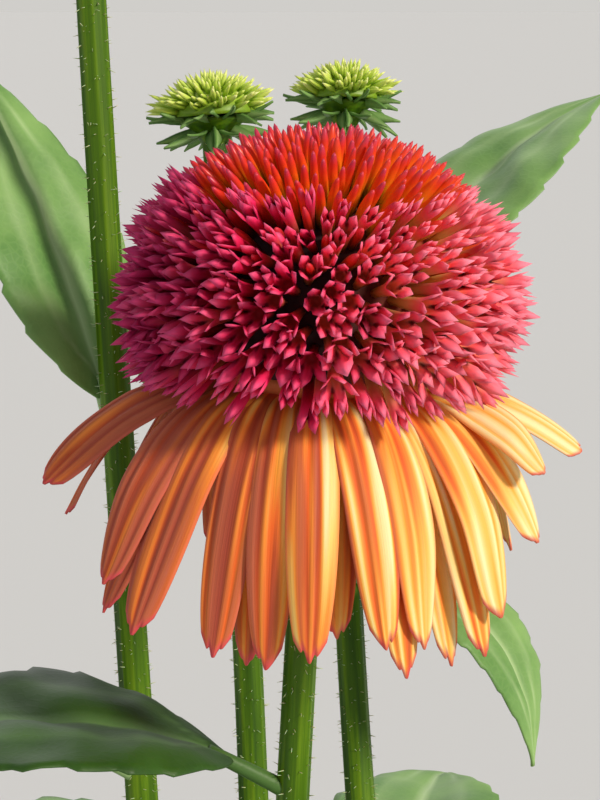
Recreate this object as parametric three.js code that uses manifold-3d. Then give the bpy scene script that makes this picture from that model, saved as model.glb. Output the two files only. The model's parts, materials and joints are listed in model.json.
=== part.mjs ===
// A potted double coneflower: a clay pot filled with compost, a clump of toothed leaves on long stalks,
// one open bloom with a skirt of drooping orange rays under a pompon of crimson florets and a cap of
// red-orange spikes, and three young yellow-green heads on leafy stems of their own.
// Millimetres, +Z up, origin at the centre of the pot's foot, the open bloom to the front at -Y.
import * as THREE from "three";
import { mergeVertices } from "three/addons/utils/BufferGeometryUtils.js";
import Module from "manifold-3d";

const wasm = await Module();
wasm.setup();

// Driving dimensions. Angles are in degrees.
const GAP = 0.3; // between pieces that rest on each other
const POT = {
  height: 150, footRadius: 57, shoulderRadius: 73, rimRadius: 80.5, rimHeight: 28, rimTaper: 2,
  wall: 6, floor: 9, edge: 2, sides: 30, drainRadius: 5, drainCircle: 28, drains: 3,
};
const SOIL = { top: 132, mound: 4, holeDepth: 20, holeClearance: 0.95 };
const STEM = { footRadius: 3.2, neckRadius: 2.4, sides: 8, steps: 8 };
const STALK = { footRadius: 2, topRadius: 1.3, shortRadius: 1.2, shortShare: 0.14, sides: 5, steps: 5 };
const BLADE_THICKNESS = 0.7;
const SINK = 1.5; // how deep the root of a floret, spike or ray lies in what it grows from
const BLOOM = {
  centre: [0, -30, 370], lean: [3, 0],
  tipRadius: 31, tipHeight: 26.5, coreRadius: 20, coreHeight: 17.5, coreFoot: 9, capAngle: 52,
  hubRadius: 15.5, hubHeight: 5, neckRadius: 7, neckHeight: 7, bracts: 11, bractLength: 15, bractRise: -16,
};
const FLORET = {
  count: 66, band: [57, 113], tube: 1.2, throat: 2, mouth: 3.6, youngMouth: 2.2, fullMouth: 72,
  lobe: 2.6, pit: 3, lobes: 4,
};
const SPIKE = { count: 50, band: [0, 48], radius: 1.7, sides: 3 };
const RAY = {
  rootRadius: 12.5, shoulderRadius: 21.5, shoulderSpread: 0.3, shoulderDrop: 12.5, rib: 0.5, roof: 0.7,
};
const BUD = {
  dome: 0.62, spikes: 20, spikeLength: 3.6, spikeRadius: 1.25, rays: 12, rayLength: 5, rayRadius: 1,
  neckHeight: 5, bracts: 9, bractLength: 12, bractRise: -4,
};
const SIDES = { core: 12, neck: 10, hub: 16, thorn: 3, bract: 4, drain: 9, hole: 7 };
const GOLDEN_ANGLE = Math.PI * (3 - Math.sqrt(5));

// The open bloom's rays, in turn round its axis from the one nearest the viewer. Each is the bearing of its
// root and of its tip from the front (positive towards +X), how far the tip stands from the axis, how far
// it hangs below the pompon's widest level, the ray's breadth, and how far it is twisted.
const RAYS = [
  [-2, 1, 36, 43.6, 7.4, 0], [5, 9, 28, 42.8, 6.4, 0], [11, 19, 34.5, 42.4, 6.8, 0],
  [21, 25, 33, 47.2, 6.4, 4], [30, 29, 35, 42.7, 7, 0], [33, 44, 30, 48.1, 6.2, 6],
  [43, 49, 34, 46.2, 6.8, 4], [55, 50, 37, 39.7, 8.4, 10], [66, 62, 37, 30.5, 7.6, 16],
  [77, 62, 37.5, 19.5, 7.6, 22], [90, 90, 40.5, 21, 7, 28], [108, 109, 35, 40, 8.2, 0],
  [127, 130, 32, 45, 8.4, 6], [147, 145, 36, 43, 8.6, -6], [167, 169, 31, 46, 8.4, 5],
  [187, 185, 35.5, 44, 8.6, 0], [207, 210, 31.5, 46, 8.4, 0], [228, 226, 36.5, 42.5, 8.6, -6],
  [249, 252, 33, 44, 8.4, 4], [270, 268, 37, 35, 8, 0], [290, 282, 40, 28, 7.8, -28],
  [306, 309, 37.5, 37.8, 7.6, -16], [314, 300, 33, 44.5, 6.6, -8], [321, 319, 36, 43.9, 8, -10],
  [333, 338, 33.5, 45.2, 7, -4], [335, 344, 29, 47.3, 5.6, 0], [344, 351, 34.5, 45.6, 7, 0],
];

// The stems: where each stands in the compost, its head's place and lean (towards +X and +Y), the radius
// of its young head, and its leaves. A leaf is its place as a share of the stem's length, its compass
// angle from +X towards +Y, its rise at the stem, how far it bends down, its length and its breadth.
const STEMS = {
  main: {
    foot: [-9, -20],
    leaves: [
      [0.74, 196, 38, 62, 86, 42], [0.6, 338, 30, 55, 84, 32], [0.44, 262, 34, 70, 92, 36],
      [0.3, 165, 30, 66, 84, 34],
    ],
  },
  left: {
    foot: [-10, 18], head: [-18.5, 37, 393], lean: [-4, 5], budRadius: 8,
    leaves: [[0.76, 112, 48, 38, 70, 25], [0.48, 176, 30, 58, 88, 34]],
  },
  right: {
    foot: [16, 6], head: [5.5, 54, 395], lean: [2, 8], budRadius: 7,
    leaves: [[0.82, 38, 56, 40, 92, 36], [0.69, 326, 14, 102, 70, 21], [0.42, 76, 36, 60, 92, 36]],
  },
  tall: {
    foot: [-27, 2], head: [-39, 17, 446], lean: [-2, 2], budRadius: 8.4,
    leaves: [[0.67, 138, 72, 22, 80, 30], [0.5, 212, 40, 60, 92, 34], [0.3, 98, 34, 62, 96, 38]],
  },
};

// The leaves that rise from the compost on stalks of their own: where each stands, its compass angle,
// its stalk's length, its rise where the blade starts, its bend, and the blade's length and breadth.
const BASAL_LEAVES = [
  [-30, -18, 218, 72, 44, 74, 112, 46],
  [-2, -38, 284, 62, 36, 80, 104, 44],
  [26, -22, 322, 78, 46, 72, 116, 46],
  [33, 4, 6, 66, 40, 76, 108, 44],
  [22, 30, 52, 74, 46, 72, 110, 46],
  [-18, 38, 122, 70, 42, 76, 112, 46],
];

// Colours, as seen in soft daylight.
const finish = (color, roughness) => new THREE.MeshStandardMaterial({ color, roughness, metalness: 0 });
const TERRACOTTA = finish(0xb5643f, 0.85);
const COMPOST = finish(0x33241b, 0.95);
const LEAF_GREEN = finish(0x3f6b2c, 0.6);
const RAY_ORANGE = finish(0xee7d35, 0.55);
const FLORET_CRIMSON = finish(0xc22f55, 0.5);
const SPIKE_RED = finish(0xe0431c, 0.45);
const BUD_GREEN = finish(0xb9cc4a, 0.6);

const radians = THREE.MathUtils.degToRad;
const vector = (x, y, z) => new THREE.Vector3(x, y, z);

// The direction at a compass angle and a rise above the level.
const heading = (compass, rise) => vector(
  Math.cos(radians(compass)) * Math.cos(radians(rise)),
  Math.sin(radians(compass)) * Math.cos(radians(rise)),
  Math.sin(radians(rise)),
);

// A small seeded generator, for the slight unevenness of growing things.
function seededRandom(seed) {
  let state = seed;
  return () => {
    state = (state * 1664525 + 1013904223) % 4294967296;
    return state / 4294967296;
  };
}

// A closed geometry as a solid that can be joined and cut.
function solid(geometry) {
  const bare = geometry.index ? geometry.toNonIndexed() : geometry.clone();
  bare.deleteAttribute("normal");
  bare.deleteAttribute("uv");
  const merged = mergeVertices(bare, 1e-4);
  const faces = [];
  for (let i = 0; i < merged.index.count; i += 3) {
    const [a, b, c] = merged.index.array.slice(i, i + 3);
    if (a !== b && b !== c && c !== a) faces.push(a, b, c);
  }
  return new wasm.Manifold(new wasm.Mesh({
    numProp: 3,
    vertProperties: new Float32Array(merged.attributes.position.array),
    triVerts: new Uint32Array(faces),
  }));
}

const fuse = (solids) => solids.reduce((whole, part) => whole.add(part));

// A named mesh made from a solid.
function mesh(name, made, material) {
  const { numProp, vertProperties, triVerts } = made.getMesh();
  const geometry = new THREE.BufferGeometry();
  geometry.setAttribute("position", new THREE.BufferAttribute(new Float32Array(vertProperties), numProp));
  geometry.setIndex(new THREE.BufferAttribute(new Uint32Array(triVerts), 1));
  geometry.computeVertexNormals();
  const node = new THREE.Mesh(geometry, material);
  node.name = name;
  return node;
}

// A lathe about +Z, from [radius, height] points that start at the foot and end at the top.
function turned(profile, sides) {
  const points = profile.map(([radius, height]) => new THREE.Vector2(radius, height));
  return new THREE.LatheGeometry(points, sides).rotateX(Math.PI / 2);
}

// A round bar whose radius follows radiusAt(share of its length), bent along a curve.
function bar(curve, radiusAt, sides, steps) {
  const geometry = new THREE.CylinderGeometry(1, 1, 1, sides, steps);
  const frames = curve.computeFrenetFrames(steps, false);
  const position = geometry.attributes.position;
  for (let i = 0; i < position.count; i += 1) {
    const step = Math.round((position.getY(i) + 0.5) * steps);
    const radius = radiusAt(step / steps);
    const point = curve.getPointAt(step / steps)
      .addScaledVector(frames.normals[step], position.getX(i) * radius)
      .addScaledVector(frames.binormals[step], -position.getZ(i) * radius);
    position.setXYZ(i, point.x, point.y, point.z);
  }
  return geometry;
}

// A thin closed blade over a grid. place(row, column) gives a point of its middle surface and the normal
// there. Both faces are split into triangles alike.
function sheet(rows, columns, place) {
  const points = [];
  for (const half of [BLADE_THICKNESS / 2, -BLADE_THICKNESS / 2]) {
    for (let row = 0; row <= rows; row += 1) {
      for (let column = 0; column <= columns; column += 1) {
        const { point, normal } = place(row, column);
        points.push(...point.addScaledVector(normal, half).toArray());
      }
    }
  }
  const across = columns + 1;
  const under = (rows + 1) * across;
  const faces = [];
  const quad = (a, b, c, d) => faces.push(a, b, c, a, c, d);
  for (let row = 0; row < rows; row += 1) {
    for (let column = 0; column < columns; column += 1) {
      const a = row * across + column;
      const c = a + across + 1;
      quad(a, a + across, c, a + 1);
      faces.push(under + a, under + c, under + a + across, under + a, under + a + 1, under + c);
    }
    const left = row * across;
    const right = left + columns;
    quad(left, under + left, under + left + across, left + across);
    quad(right, right + across, under + right + across, under + right);
  }
  for (let column = 0; column < columns; column += 1) {
    const tip = rows * across + column;
    quad(column, column + 1, under + column + 1, under + column);
    quad(tip, under + tip, under + tip + 1, tip + 1);
  }
  const geometry = new THREE.BufferGeometry();
  geometry.setAttribute("position", new THREE.BufferAttribute(new Float32Array(points), 3));
  geometry.setIndex(faces);
  return geometry;
}

// The line of a leaf's midrib, which sets out at one rise and bends down from it.
function midrib(root, compass, rise, bend, length) {
  const shoulder = root.clone().addScaledVector(heading(compass, rise), length / 2);
  const tip = shoulder.clone().addScaledVector(heading(compass, rise - bend), length / 2);
  return new THREE.QuadraticBezierCurve3(root, shoulder, tip);
}

// How broad a leaf is along its length: 1 at its broadest, about two fifths of the way along.
function leafOutline(share) {
  const rootPower = 0.8;
  const tipPower = 1.15;
  const broadest = rootPower / (rootPower + tipPower);
  const shape = (s) => s ** rootPower * (1 - s) ** tipPower;
  return shape(share) / shape(broadest);
}

// A leaf blade: toothed edges, folded up a little along its midrib, with arched halves.
function leafBlade(curve, compass, breadth, columns) {
  const rows = 8;
  const fold = 0.34;
  const arch = 0.3;
  const narrowest = 0.9;
  const toothOut = 1.1;
  const toothIn = 0.88;
  const side = vector(-Math.sin(radians(compass)), Math.cos(radians(compass)), 0);
  return sheet(rows, columns, (row, column) => {
    const share = row / rows;
    const across = (column / columns) * 2 - 1;
    const tooth = row % 2 === 1 ? toothOut : toothIn;
    const outline = leafOutline(share) * (Math.abs(across) === 1 ? tooth : 1);
    const half = Math.max(narrowest, (breadth / 2) * outline);
    const normal = curve.getTangent(share).cross(side).normalize();
    const point = curve.getPoint(share)
      .addScaledVector(side, across * half)
      .addScaledVector(normal, (fold * Math.abs(across) - arch * across * across) * half);
    return { point, normal };
  });
}

// A leaf on a stem, from the stem's centreline out: a short stalk and the blade.
function stemLeaf(stem, [share, compass, rise, bend, length, breadth]) {
  const stalkShare = STALK.shortShare;
  const root = stem.getPointAt(share);
  const whole = midrib(root, compass, rise, bend, length);
  const bladeRoot = whole.getPoint(stalkShare);
  const stalk = new THREE.LineCurve3(root, whole.getPoint(stalkShare * 1.3));
  const blade = midrib(bladeRoot, compass, rise - bend * stalkShare, bend * (1 - stalkShare),
    length * (1 - stalkShare));
  return [solid(bar(stalk, () => STALK.shortRadius, 4, 1)), solid(leafBlade(blade, compass, breadth, 2))];
}

// A leaf from the compost: a long stalk, upright at its foot, that passes into the blade's midrib.
function basalLeaf([x, y, compass, stalkLength, rise, bend, length, breadth]) {
  const start = vector(x, y, SOIL.top - SOIL.holeDepth);
  const out = heading(compass, rise);
  const top = vector(x, y, SOIL.top).addScaledVector(heading(compass, (90 + rise) / 2), stalkLength);
  const lower = start.clone().add(vector(0, 0, SOIL.holeDepth + stalkLength * 0.4));
  const upper = top.clone().addScaledVector(out, -stalkLength * 0.4);
  const stalk = new THREE.CubicBezierCurve3(start, lower, upper, top);
  const blade = midrib(top.clone().addScaledVector(out, -2 * STALK.topRadius), compass, rise, bend, length);
  const radiusAt = (share) => THREE.MathUtils.lerp(STALK.footRadius, STALK.topRadius, share);
  const stalkBar = bar(stalk, radiusAt, STALK.sides, STALK.steps);
  return fuse([solid(stalkBar), solid(leafBlade(blade, compass, breadth, 4))]);
}

// A stem's centreline: straight up out of the compost, and into its head along the head's own axis.
function stemCurve(foot, head, axis) {
  const handle = 0.4;
  const start = vector(foot[0], foot[1], SOIL.top - SOIL.holeDepth);
  const rise = head.z - start.z;
  const rising = start.clone().add(vector(0, 0, rise * handle));
  const arriving = head.clone().addScaledVector(axis, -rise * handle);
  return new THREE.CubicBezierCurve3(start, rising, arriving, head);
}

// The frame of a flower head: its place, with +Z along its leaning axis.
function headFrame(place, lean) {
  const frame = new THREE.Group();
  const axis = vector(Math.tan(radians(lean[0])), Math.tan(radians(lean[1])), 1).normalize();
  frame.position.set(...place);
  frame.quaternion.setFromUnitVectors(vector(0, 0, 1), axis);
  frame.updateMatrixWorld();
  return { frame, axis };
}

// A ring of pointed green bracts round a stem's neck, in the head's own frame, every other one lower.
function bractRing(count, ringRadius, level, length, rise) {
  const breadth = 1.5;
  const flatness = 0.35;
  return Array.from({ length: count }, (_, i) => {
    const lower = i % 2;
    return turned([[0, 0], [breadth, length * 0.3], [0, length]], SIDES.bract)
      .scale(1, flatness, 1)
      .rotateX(radians(90 - rise + lower * 14))
      .translate(0, -ringRadius, level - lower * 1.2)
      .rotateZ((i / count) * 2 * Math.PI);
  });
}

// A leafy stem with the green neck and bracts that carry a head.
function leafyStem({ foot, leaves }, { frame, axis }, neckRadius, neckHeight, neckTop, bracts) {
  const neckFoot = STEM.neckRadius * 0.9;
  const neck = turned([[0, neckTop - neckHeight], [neckFoot, neckTop - neckHeight],
    [neckRadius * 0.7, neckTop - neckHeight * 0.35], [neckRadius, neckTop], [0, neckTop]], SIDES.neck);
  const head = vector(0, 0, neckTop - 1).applyMatrix4(frame.matrixWorld);
  const curve = stemCurve(foot, head, axis);
  const radiusAt = (share) => THREE.MathUtils.lerp(STEM.footRadius, STEM.neckRadius, share);
  const crown = [neck, ...bracts].map((geometry) => solid(geometry.applyMatrix4(frame.matrixWorld)));
  return fuse([
    solid(bar(curve, radiusAt, STEM.sides, STEM.steps)),
    ...crown,
    ...leaves.flatMap((leaf) => stemLeaf(curve, leaf)),
  ]);
}

// Places spread evenly over a band of a dome in the spiral of a flower head: the angle from the dome's
// axis and the turn round it, in radians.
function spiral(count, [fromAngle, toAngle]) {
  const top = Math.cos(radians(fromAngle));
  const foot = Math.cos(radians(toAngle));
  return Array.from({ length: count }, (_, i) => ({
    polar: Math.acos(top + (foot - top) * ((i + 0.5) / count)),
    turn: i * GOLDEN_ANGLE,
  }));
}

// The distance from a dome's centre to its surface at an angle from its axis.
const reach = (polar, radius, height) => 1 / Math.hypot(Math.sin(polar) / radius, Math.cos(polar) / height);

// A geometry that grows along +Z, stood on a dome at a place of the spiral, a distance from its centre.
function stand(geometry, { polar, turn }, distance, spin) {
  const out = vector(Math.sin(polar) * Math.cos(turn), Math.sin(polar) * Math.sin(turn), Math.cos(polar));
  const level = vector(-Math.sin(turn), Math.cos(turn), 0);
  const matrix = new THREE.Matrix4().makeBasis(level.clone().cross(out).negate(), level.negate(), out)
    .setPosition(out.clone().multiplyScalar(distance));
  return geometry.rotateZ(spin).applyMatrix4(matrix);
}

// One floret: a tube that widens to a mouth with a pit and pointed lobes.
function floretGeometry(length, mouth) {
  const { lobes, tube, lobe, pit } = FLORET;
  const throat = Math.min(FLORET.throat, mouth * 0.6);
  const points = [];
  const ring = (k, radius, height) => {
    const angle = (k / lobes) * 2 * Math.PI;
    points.push(radius * Math.cos(angle), radius * Math.sin(angle), height);
  };
  for (let k = 0; k < lobes; k += 1) ring(k, tube, -SINK);
  for (let k = 0; k < lobes; k += 1) ring(k, mouth, length);
  for (let k = 0; k < lobes; k += 1) ring(k + 0.5, throat, length - lobe);
  points.push(0, 0, length - lobe - pit);
  const faces = [];
  for (let k = 0; k < lobes; k += 1) {
    const next = (k + 1) % lobes;
    const root = k;
    const tip = lobes + k;
    const notch = 2 * lobes + k;
    faces.push(root, notch, tip, root, next, notch, next, lobes + next, notch);
    faces.push(3 * lobes, tip, notch, 3 * lobes, notch, lobes + next);
    if (k > 0 && next > 0) faces.push(0, next, root);
  }
  const geometry = new THREE.BufferGeometry();
  geometry.setAttribute("position", new THREE.BufferAttribute(new Float32Array(points), 3));
  geometry.setIndex(faces);
  return geometry;
}

// One spike: a slim bud with a blunt shoulder and a point.
const spikeGeometry = (length, radius, sides) => turned(
  [[0, -SINK], [radius, -SINK], [radius * 0.85, length * 0.72], [0, length]], sides,
);

// One thorn of a young head: a slim cone.
const thornGeometry = (length, radius) => turned(
  [[0, -SINK], [radius, -SINK], [0, length]], SIDES.thorn,
);

// The outline of a dome, from a flat foot at one height to a flat top at another.
function domeProfile(radius, height, foot, top, steps) {
  const at = (z) => [radius * Math.sqrt(Math.max(0, 1 - (z / (z < 0 ? radius : height)) ** 2)), z];
  const profile = [[0, foot]];
  for (let i = 0; i <= steps; i += 1) profile.push(at(foot + ((top - foot) * i) / steps));
  if (top < height) profile.push([0, top]);
  return profile;
}

// The open bloom, in its own frame: the origin is on its axis at the pompon's widest level.
const capReach = reach(radians(BLOOM.capAngle), BLOOM.coreRadius, BLOOM.coreHeight);
const capLevel = capReach * Math.cos(radians(BLOOM.capAngle));

function floretPompon() {
  const random = seededRandom(11);
  const core = turned(
    domeProfile(BLOOM.coreRadius, BLOOM.coreHeight, -BLOOM.coreFoot, capLevel - GAP / 2, 4), SIDES.core,
  );
  const florets = spiral(FLORET.count, FLORET.band).map((place) => {
    const root = reach(place.polar, BLOOM.coreRadius, BLOOM.coreHeight);
    const tip = reach(place.polar, BLOOM.tipRadius, BLOOM.tipHeight);
    const length = tip - root - random() * 1.2;
    const [young, full] = [radians(FLORET.band[0]), radians(FLORET.fullMouth)];
    const open = THREE.MathUtils.smoothstep(place.polar, young, full);
    const mouth = THREE.MathUtils.lerp(FLORET.youngMouth, FLORET.mouth, open);
    return solid(stand(floretGeometry(length, mouth), place, root, random() * Math.PI));
  });
  return fuse([solid(core), ...florets]);
}

function spikeCap() {
  const random = seededRandom(23);
  const core = turned(domeProfile(BLOOM.coreRadius, BLOOM.coreHeight, 0, BLOOM.coreHeight, 5), SIDES.core);
  const spikes = spiral(SPIKE.count, SPIKE.band).map((place) => {
    const root = reach(place.polar, BLOOM.coreRadius, BLOOM.coreHeight);
    const tip = reach(place.polar, BLOOM.tipRadius, BLOOM.tipHeight);
    const length = tip - root - random() * 0.8;
    return solid(stand(spikeGeometry(length, SPIKE.radius, SPIKE.sides), place, root, random()));
  });
  const size = 4 * BLOOM.tipRadius;
  const above = new THREE.BoxGeometry(size, size, size).translate(0, 0, capLevel + GAP / 2 + size / 2);
  return fuse([solid(core), ...spikes]).intersect(solid(above));
}

// How broad a ray is along its length: half as broad at the root, broadest past the middle, and rounded at
// the tip.
function rayOutline(share) {
  const broadest = 0.6;
  if (share < broadest) return 0.5 + 0.5 * Math.sin((share / broadest) * (Math.PI / 2));
  return Math.sqrt(1 - 0.88 * ((share - broadest) / (1 - broadest)) ** 2.2);
}

// One ray: two raised ribs along it, edges turned down, and a tip of notched teeth.
function rayGeometry([rootBearing, tipBearing, tipRadius, tipDrop, breadth, twist]) {
  const rows = 4;
  const columns = 4;
  const ribs = [0, 1, -0.2, 1, 0];
  const teeth = [-3.4, 0, -1.8, 0.4, -3];
  const turnBack = THREE.MathUtils.euclideanModulo(tipBearing - rootBearing + 180, 360) - 180;
  const at = (share, radius, drop) => heading(rootBearing + turnBack * share - 90, 0)
    .multiplyScalar(radius).setZ(-drop);
  const spread = RAY.shoulderSpread * (tipRadius - RAY.shoulderRadius);
  const line = new THREE.QuadraticBezierCurve3(
    at(0, RAY.rootRadius, BLOOM.coreFoot + GAP + BLOOM.hubHeight / 2),
    at(0.4, RAY.shoulderRadius + spread, RAY.shoulderDrop - spread * 0.25),
    at(1, tipRadius, tipDrop),
  );
  const level = heading(rootBearing + turnBack / 2, 0);
  return sheet(rows, columns, (row, column) => {
    const share = row / rows;
    const across = (column / columns) * 2 - 1;
    const half = (breadth / 2) * rayOutline(share);
    const tangent = line.getTangent(share);
    const side = level.clone().applyAxisAngle(tangent, radians(twist) * Math.min(1, 2 * share));
    const normal = tangent.clone().cross(side).normalize();
    const raise = RAY.rib * ribs[column] * Math.sin(Math.PI * Math.min(1, share + 0.1))
      - RAY.roof * across * across;
    const point = line.getPoint(share)
      .addScaledVector(side, across * half)
      .addScaledVector(normal, raise)
      .addScaledVector(tangent, row === rows ? teeth[column] : 0);
    return { point, normal };
  });
}

function raySkirt() {
  const top = -BLOOM.coreFoot - GAP;
  const hub = turned([[0, top - BLOOM.hubHeight], [BLOOM.neckRadius + 1, top - BLOOM.hubHeight],
    [BLOOM.hubRadius, top - 2], [BLOOM.hubRadius, top], [0, top]], SIDES.hub);
  return fuse([solid(hub), ...RAYS.map((ray) => solid(rayGeometry(ray)))]);
}

// A young head, in its own frame: the origin is at the middle of its flat foot.
function budHead(radius, seed) {
  const random = seededRandom(seed);
  const height = radius * BUD.dome;
  const core = turned(domeProfile(radius, height, 0, height, 2), SIDES.core);
  const spikes = spiral(BUD.spikes, [0, 78]).map((place) => {
    const root = reach(place.polar, radius, height);
    const length = BUD.spikeLength * (0.85 + 0.3 * random());
    return solid(stand(thornGeometry(length, BUD.spikeRadius), place, root, random()));
  });
  const rays = Array.from({ length: BUD.rays }, (_, i) => {
    const turn = ((i + 0.3 * random()) / BUD.rays) * 2 * Math.PI;
    const place = { polar: radians(70 + (i % 2) * 6), turn };
    const length = BUD.rayLength * (0.8 + 0.4 * random());
    return solid(stand(thornGeometry(length, BUD.rayRadius), place, radius * 0.92, 0));
  });
  const size = 4 * radius;
  const above = new THREE.BoxGeometry(size, size, size).translate(0, 0, size / 2);
  return fuse([solid(core), ...spikes, ...rays]).intersect(solid(above));
}

// The pot: a tapered wall with a rolled rim, and drain holes in its floor.
const wallRadius = (z) => THREE.MathUtils.lerp(
  POT.footRadius, POT.shoulderRadius, z / (POT.height - POT.rimHeight),
);
const innerRadius = (z) => wallRadius(z) - POT.wall;

function pot() {
  const rimFoot = POT.height - POT.rimHeight;
  const body = turned([
    [0, 0], [POT.footRadius - POT.edge, 0], [POT.footRadius, POT.edge], [POT.shoulderRadius, rimFoot],
    [POT.rimRadius - POT.rimTaper - 1, rimFoot + 1], [POT.rimRadius, POT.height - 2 * POT.edge],
    [POT.rimRadius - POT.edge, POT.height], [innerRadius(POT.height) + POT.edge, POT.height],
    [innerRadius(POT.height - POT.edge), POT.height - POT.edge], [innerRadius(POT.floor), POT.floor],
    [0, POT.floor],
  ], POT.sides);
  const drains = Array.from({ length: POT.drains }, (_, i) => solid(
    new THREE.CylinderGeometry(POT.drainRadius, POT.drainRadius, 3 * POT.floor, SIDES.drain)
      .rotateX(Math.PI / 2)
      .translate(POT.drainCircle, 0, 0)
      .rotateZ((i / POT.drains) * 2 * Math.PI),
  ));
  return drains.reduce((clay, drain) => clay.subtract(drain), solid(body));
}

// The compost that fills the pot, with a plain hole for each stem and stalk.
function soil(feet) {
  const foot = POT.floor + GAP;
  const edge = innerRadius(SOIL.top) - GAP;
  const filling = turned([
    [0, foot], [innerRadius(foot) - GAP, foot], [edge, SOIL.top],
    [edge * 0.7, SOIL.top + SOIL.mound * 0.3], [edge * 0.35, SOIL.top], [0, SOIL.top + SOIL.mound * 0.2],
  ], POT.sides);
  const holes = feet.map(({ at: [x, y], radius }) => solid(
    new THREE.CylinderGeometry(radius, radius, 2 * (SOIL.holeDepth + GAP), SIDES.hole)
      .rotateX(Math.PI / 2)
      .translate(x, y, SOIL.top),
  ));
  return holes.reduce((earth, hole) => earth.subtract(hole), solid(filling));
}

// The whole plant.
const plant = new THREE.Group();

const bloomHead = headFrame(BLOOM.centre, BLOOM.lean);
const neckTop = -BLOOM.coreFoot - BLOOM.hubHeight - 2 * GAP;
const bloomBracts = bractRing(
  BLOOM.bracts, BLOOM.neckRadius * 0.4, neckTop - 2, BLOOM.bractLength, BLOOM.bractRise,
);
bloomHead.frame.add(
  mesh("bloom_spike_cap", spikeCap(), SPIKE_RED),
  mesh("bloom_floret_pompon", floretPompon(), FLORET_CRIMSON),
  mesh("bloom_ray_skirt", raySkirt(), RAY_ORANGE),
);
plant.add(bloomHead.frame);
plant.add(mesh("stem_main", leafyStem(
  STEMS.main, bloomHead, BLOOM.neckRadius, BLOOM.neckHeight, neckTop, bloomBracts,
), LEAF_GREEN));

["left", "right", "tall"].forEach((name, index) => {
  const stem = STEMS[name];
  const head = headFrame(stem.head, stem.lean);
  const bracts = bractRing(
    BUD.bracts, stem.budRadius * 0.3, -GAP - 1.2, BUD.bractLength, BUD.bractRise,
  );
  head.frame.add(mesh(`bud_${name}`, budHead(stem.budRadius, 31 + index), BUD_GREEN));
  plant.add(head.frame);
  plant.add(mesh(`stem_${name}`, leafyStem(
    stem, head, stem.budRadius * 0.8, BUD.neckHeight, -GAP, bracts,
  ), LEAF_GREEN));
});

BASAL_LEAVES.forEach((leaf, index) => {
  plant.add(mesh(`leaf_basal_${index + 1}`, basalLeaf(leaf), LEAF_GREEN));
});

const stalkHole = STALK.footRadius + SOIL.holeClearance;
const stemHole = STEM.footRadius + SOIL.holeClearance;
plant.add(mesh("pot", pot(), TERRACOTTA));
plant.add(mesh("soil", soil([
  ...Object.values(STEMS).map(({ foot }) => ({ at: foot, radius: stemHole })),
  ...BASAL_LEAVES.map(([x, y]) => ({ at: [x, y], radius: stalkHole })),
]), COMPOST));

export default plant;
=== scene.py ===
# %% [markdown]
# # A potted double coneflower
#
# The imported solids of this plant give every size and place, but they are plain: blunt florets, flat
# leaves, a pot with a few sides. This notebook grows the finer plant over them. Each cell makes one
# finish or one piece, and the cell before it says what the real thing is and why it is made that way.

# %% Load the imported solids
import json
import math
import random

import bmesh
import bpy
from mathutils import Matrix, Vector, noise

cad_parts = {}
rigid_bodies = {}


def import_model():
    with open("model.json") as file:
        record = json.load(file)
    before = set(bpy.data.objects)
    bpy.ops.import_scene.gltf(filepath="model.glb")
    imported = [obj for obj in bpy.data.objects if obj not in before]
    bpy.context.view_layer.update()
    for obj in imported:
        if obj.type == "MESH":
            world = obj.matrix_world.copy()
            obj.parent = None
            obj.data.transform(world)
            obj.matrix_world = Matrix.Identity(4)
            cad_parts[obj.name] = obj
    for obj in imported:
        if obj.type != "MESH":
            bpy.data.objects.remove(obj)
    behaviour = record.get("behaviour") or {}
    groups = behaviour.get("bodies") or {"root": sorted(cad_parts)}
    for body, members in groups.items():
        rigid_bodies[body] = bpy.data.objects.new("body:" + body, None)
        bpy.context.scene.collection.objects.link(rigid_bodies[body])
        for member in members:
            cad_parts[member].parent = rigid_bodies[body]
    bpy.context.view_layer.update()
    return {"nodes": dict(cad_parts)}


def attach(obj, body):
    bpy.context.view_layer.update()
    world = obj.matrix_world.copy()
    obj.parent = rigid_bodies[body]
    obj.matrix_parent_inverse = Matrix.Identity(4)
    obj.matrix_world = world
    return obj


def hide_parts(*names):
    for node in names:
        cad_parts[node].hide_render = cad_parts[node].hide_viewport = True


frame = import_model()
MM = 0.001
ROOT = "root"
print("solids:", sorted(frame["nodes"]))

# %% [markdown]
# ## The camera
#
# The bloom is seen from close by with a longer lens, from a little above, and it stands right of the
# middle of the picture and above it. The distance follows from the lens: so many pixels of the picture
# have to cover one millimetre of the bloom. The lens's sensor covers the picture's long side.

# %% Camera
PICTURE_HEIGHT = 800
PIXELS_PER_MM = 6.77
BLOOM_RIGHT_OF_MIDDLE = 20
BLOOM_ABOVE_MIDDLE = 100
LENS = 85
SENSOR = 36
LOOKING_DOWN = math.radians(12)
BLOOM_CENTRE = Vector((0, -30, 370))

camera = bpy.data.objects.new("camera", bpy.data.cameras.new("camera"))
camera.data.lens = LENS
camera.data.sensor_width = SENSOR
camera.data.clip_start = 10 * MM
bpy.context.scene.collection.objects.link(camera)
bpy.context.scene.camera = camera

camera_right = Vector((1, 0, 0))
camera_back = Vector((0, -math.cos(LOOKING_DOWN), math.sin(LOOKING_DOWN)))
camera_up = camera_back.cross(camera_right)
distance = LENS / SENSOR * PICTURE_HEIGHT / PIXELS_PER_MM
aim = BLOOM_CENTRE - camera_right * (BLOOM_RIGHT_OF_MIDDLE / PIXELS_PER_MM)
aim -= camera_up * (BLOOM_ABOVE_MIDDLE / PIXELS_PER_MM)
turn = Matrix((camera_right, camera_up, camera_back)).transposed().to_4x4()
camera.matrix_world = Matrix.Translation((aim + camera_back * distance) * MM) @ turn
print("camera stands", round(distance), "mm from the bloom")

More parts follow.
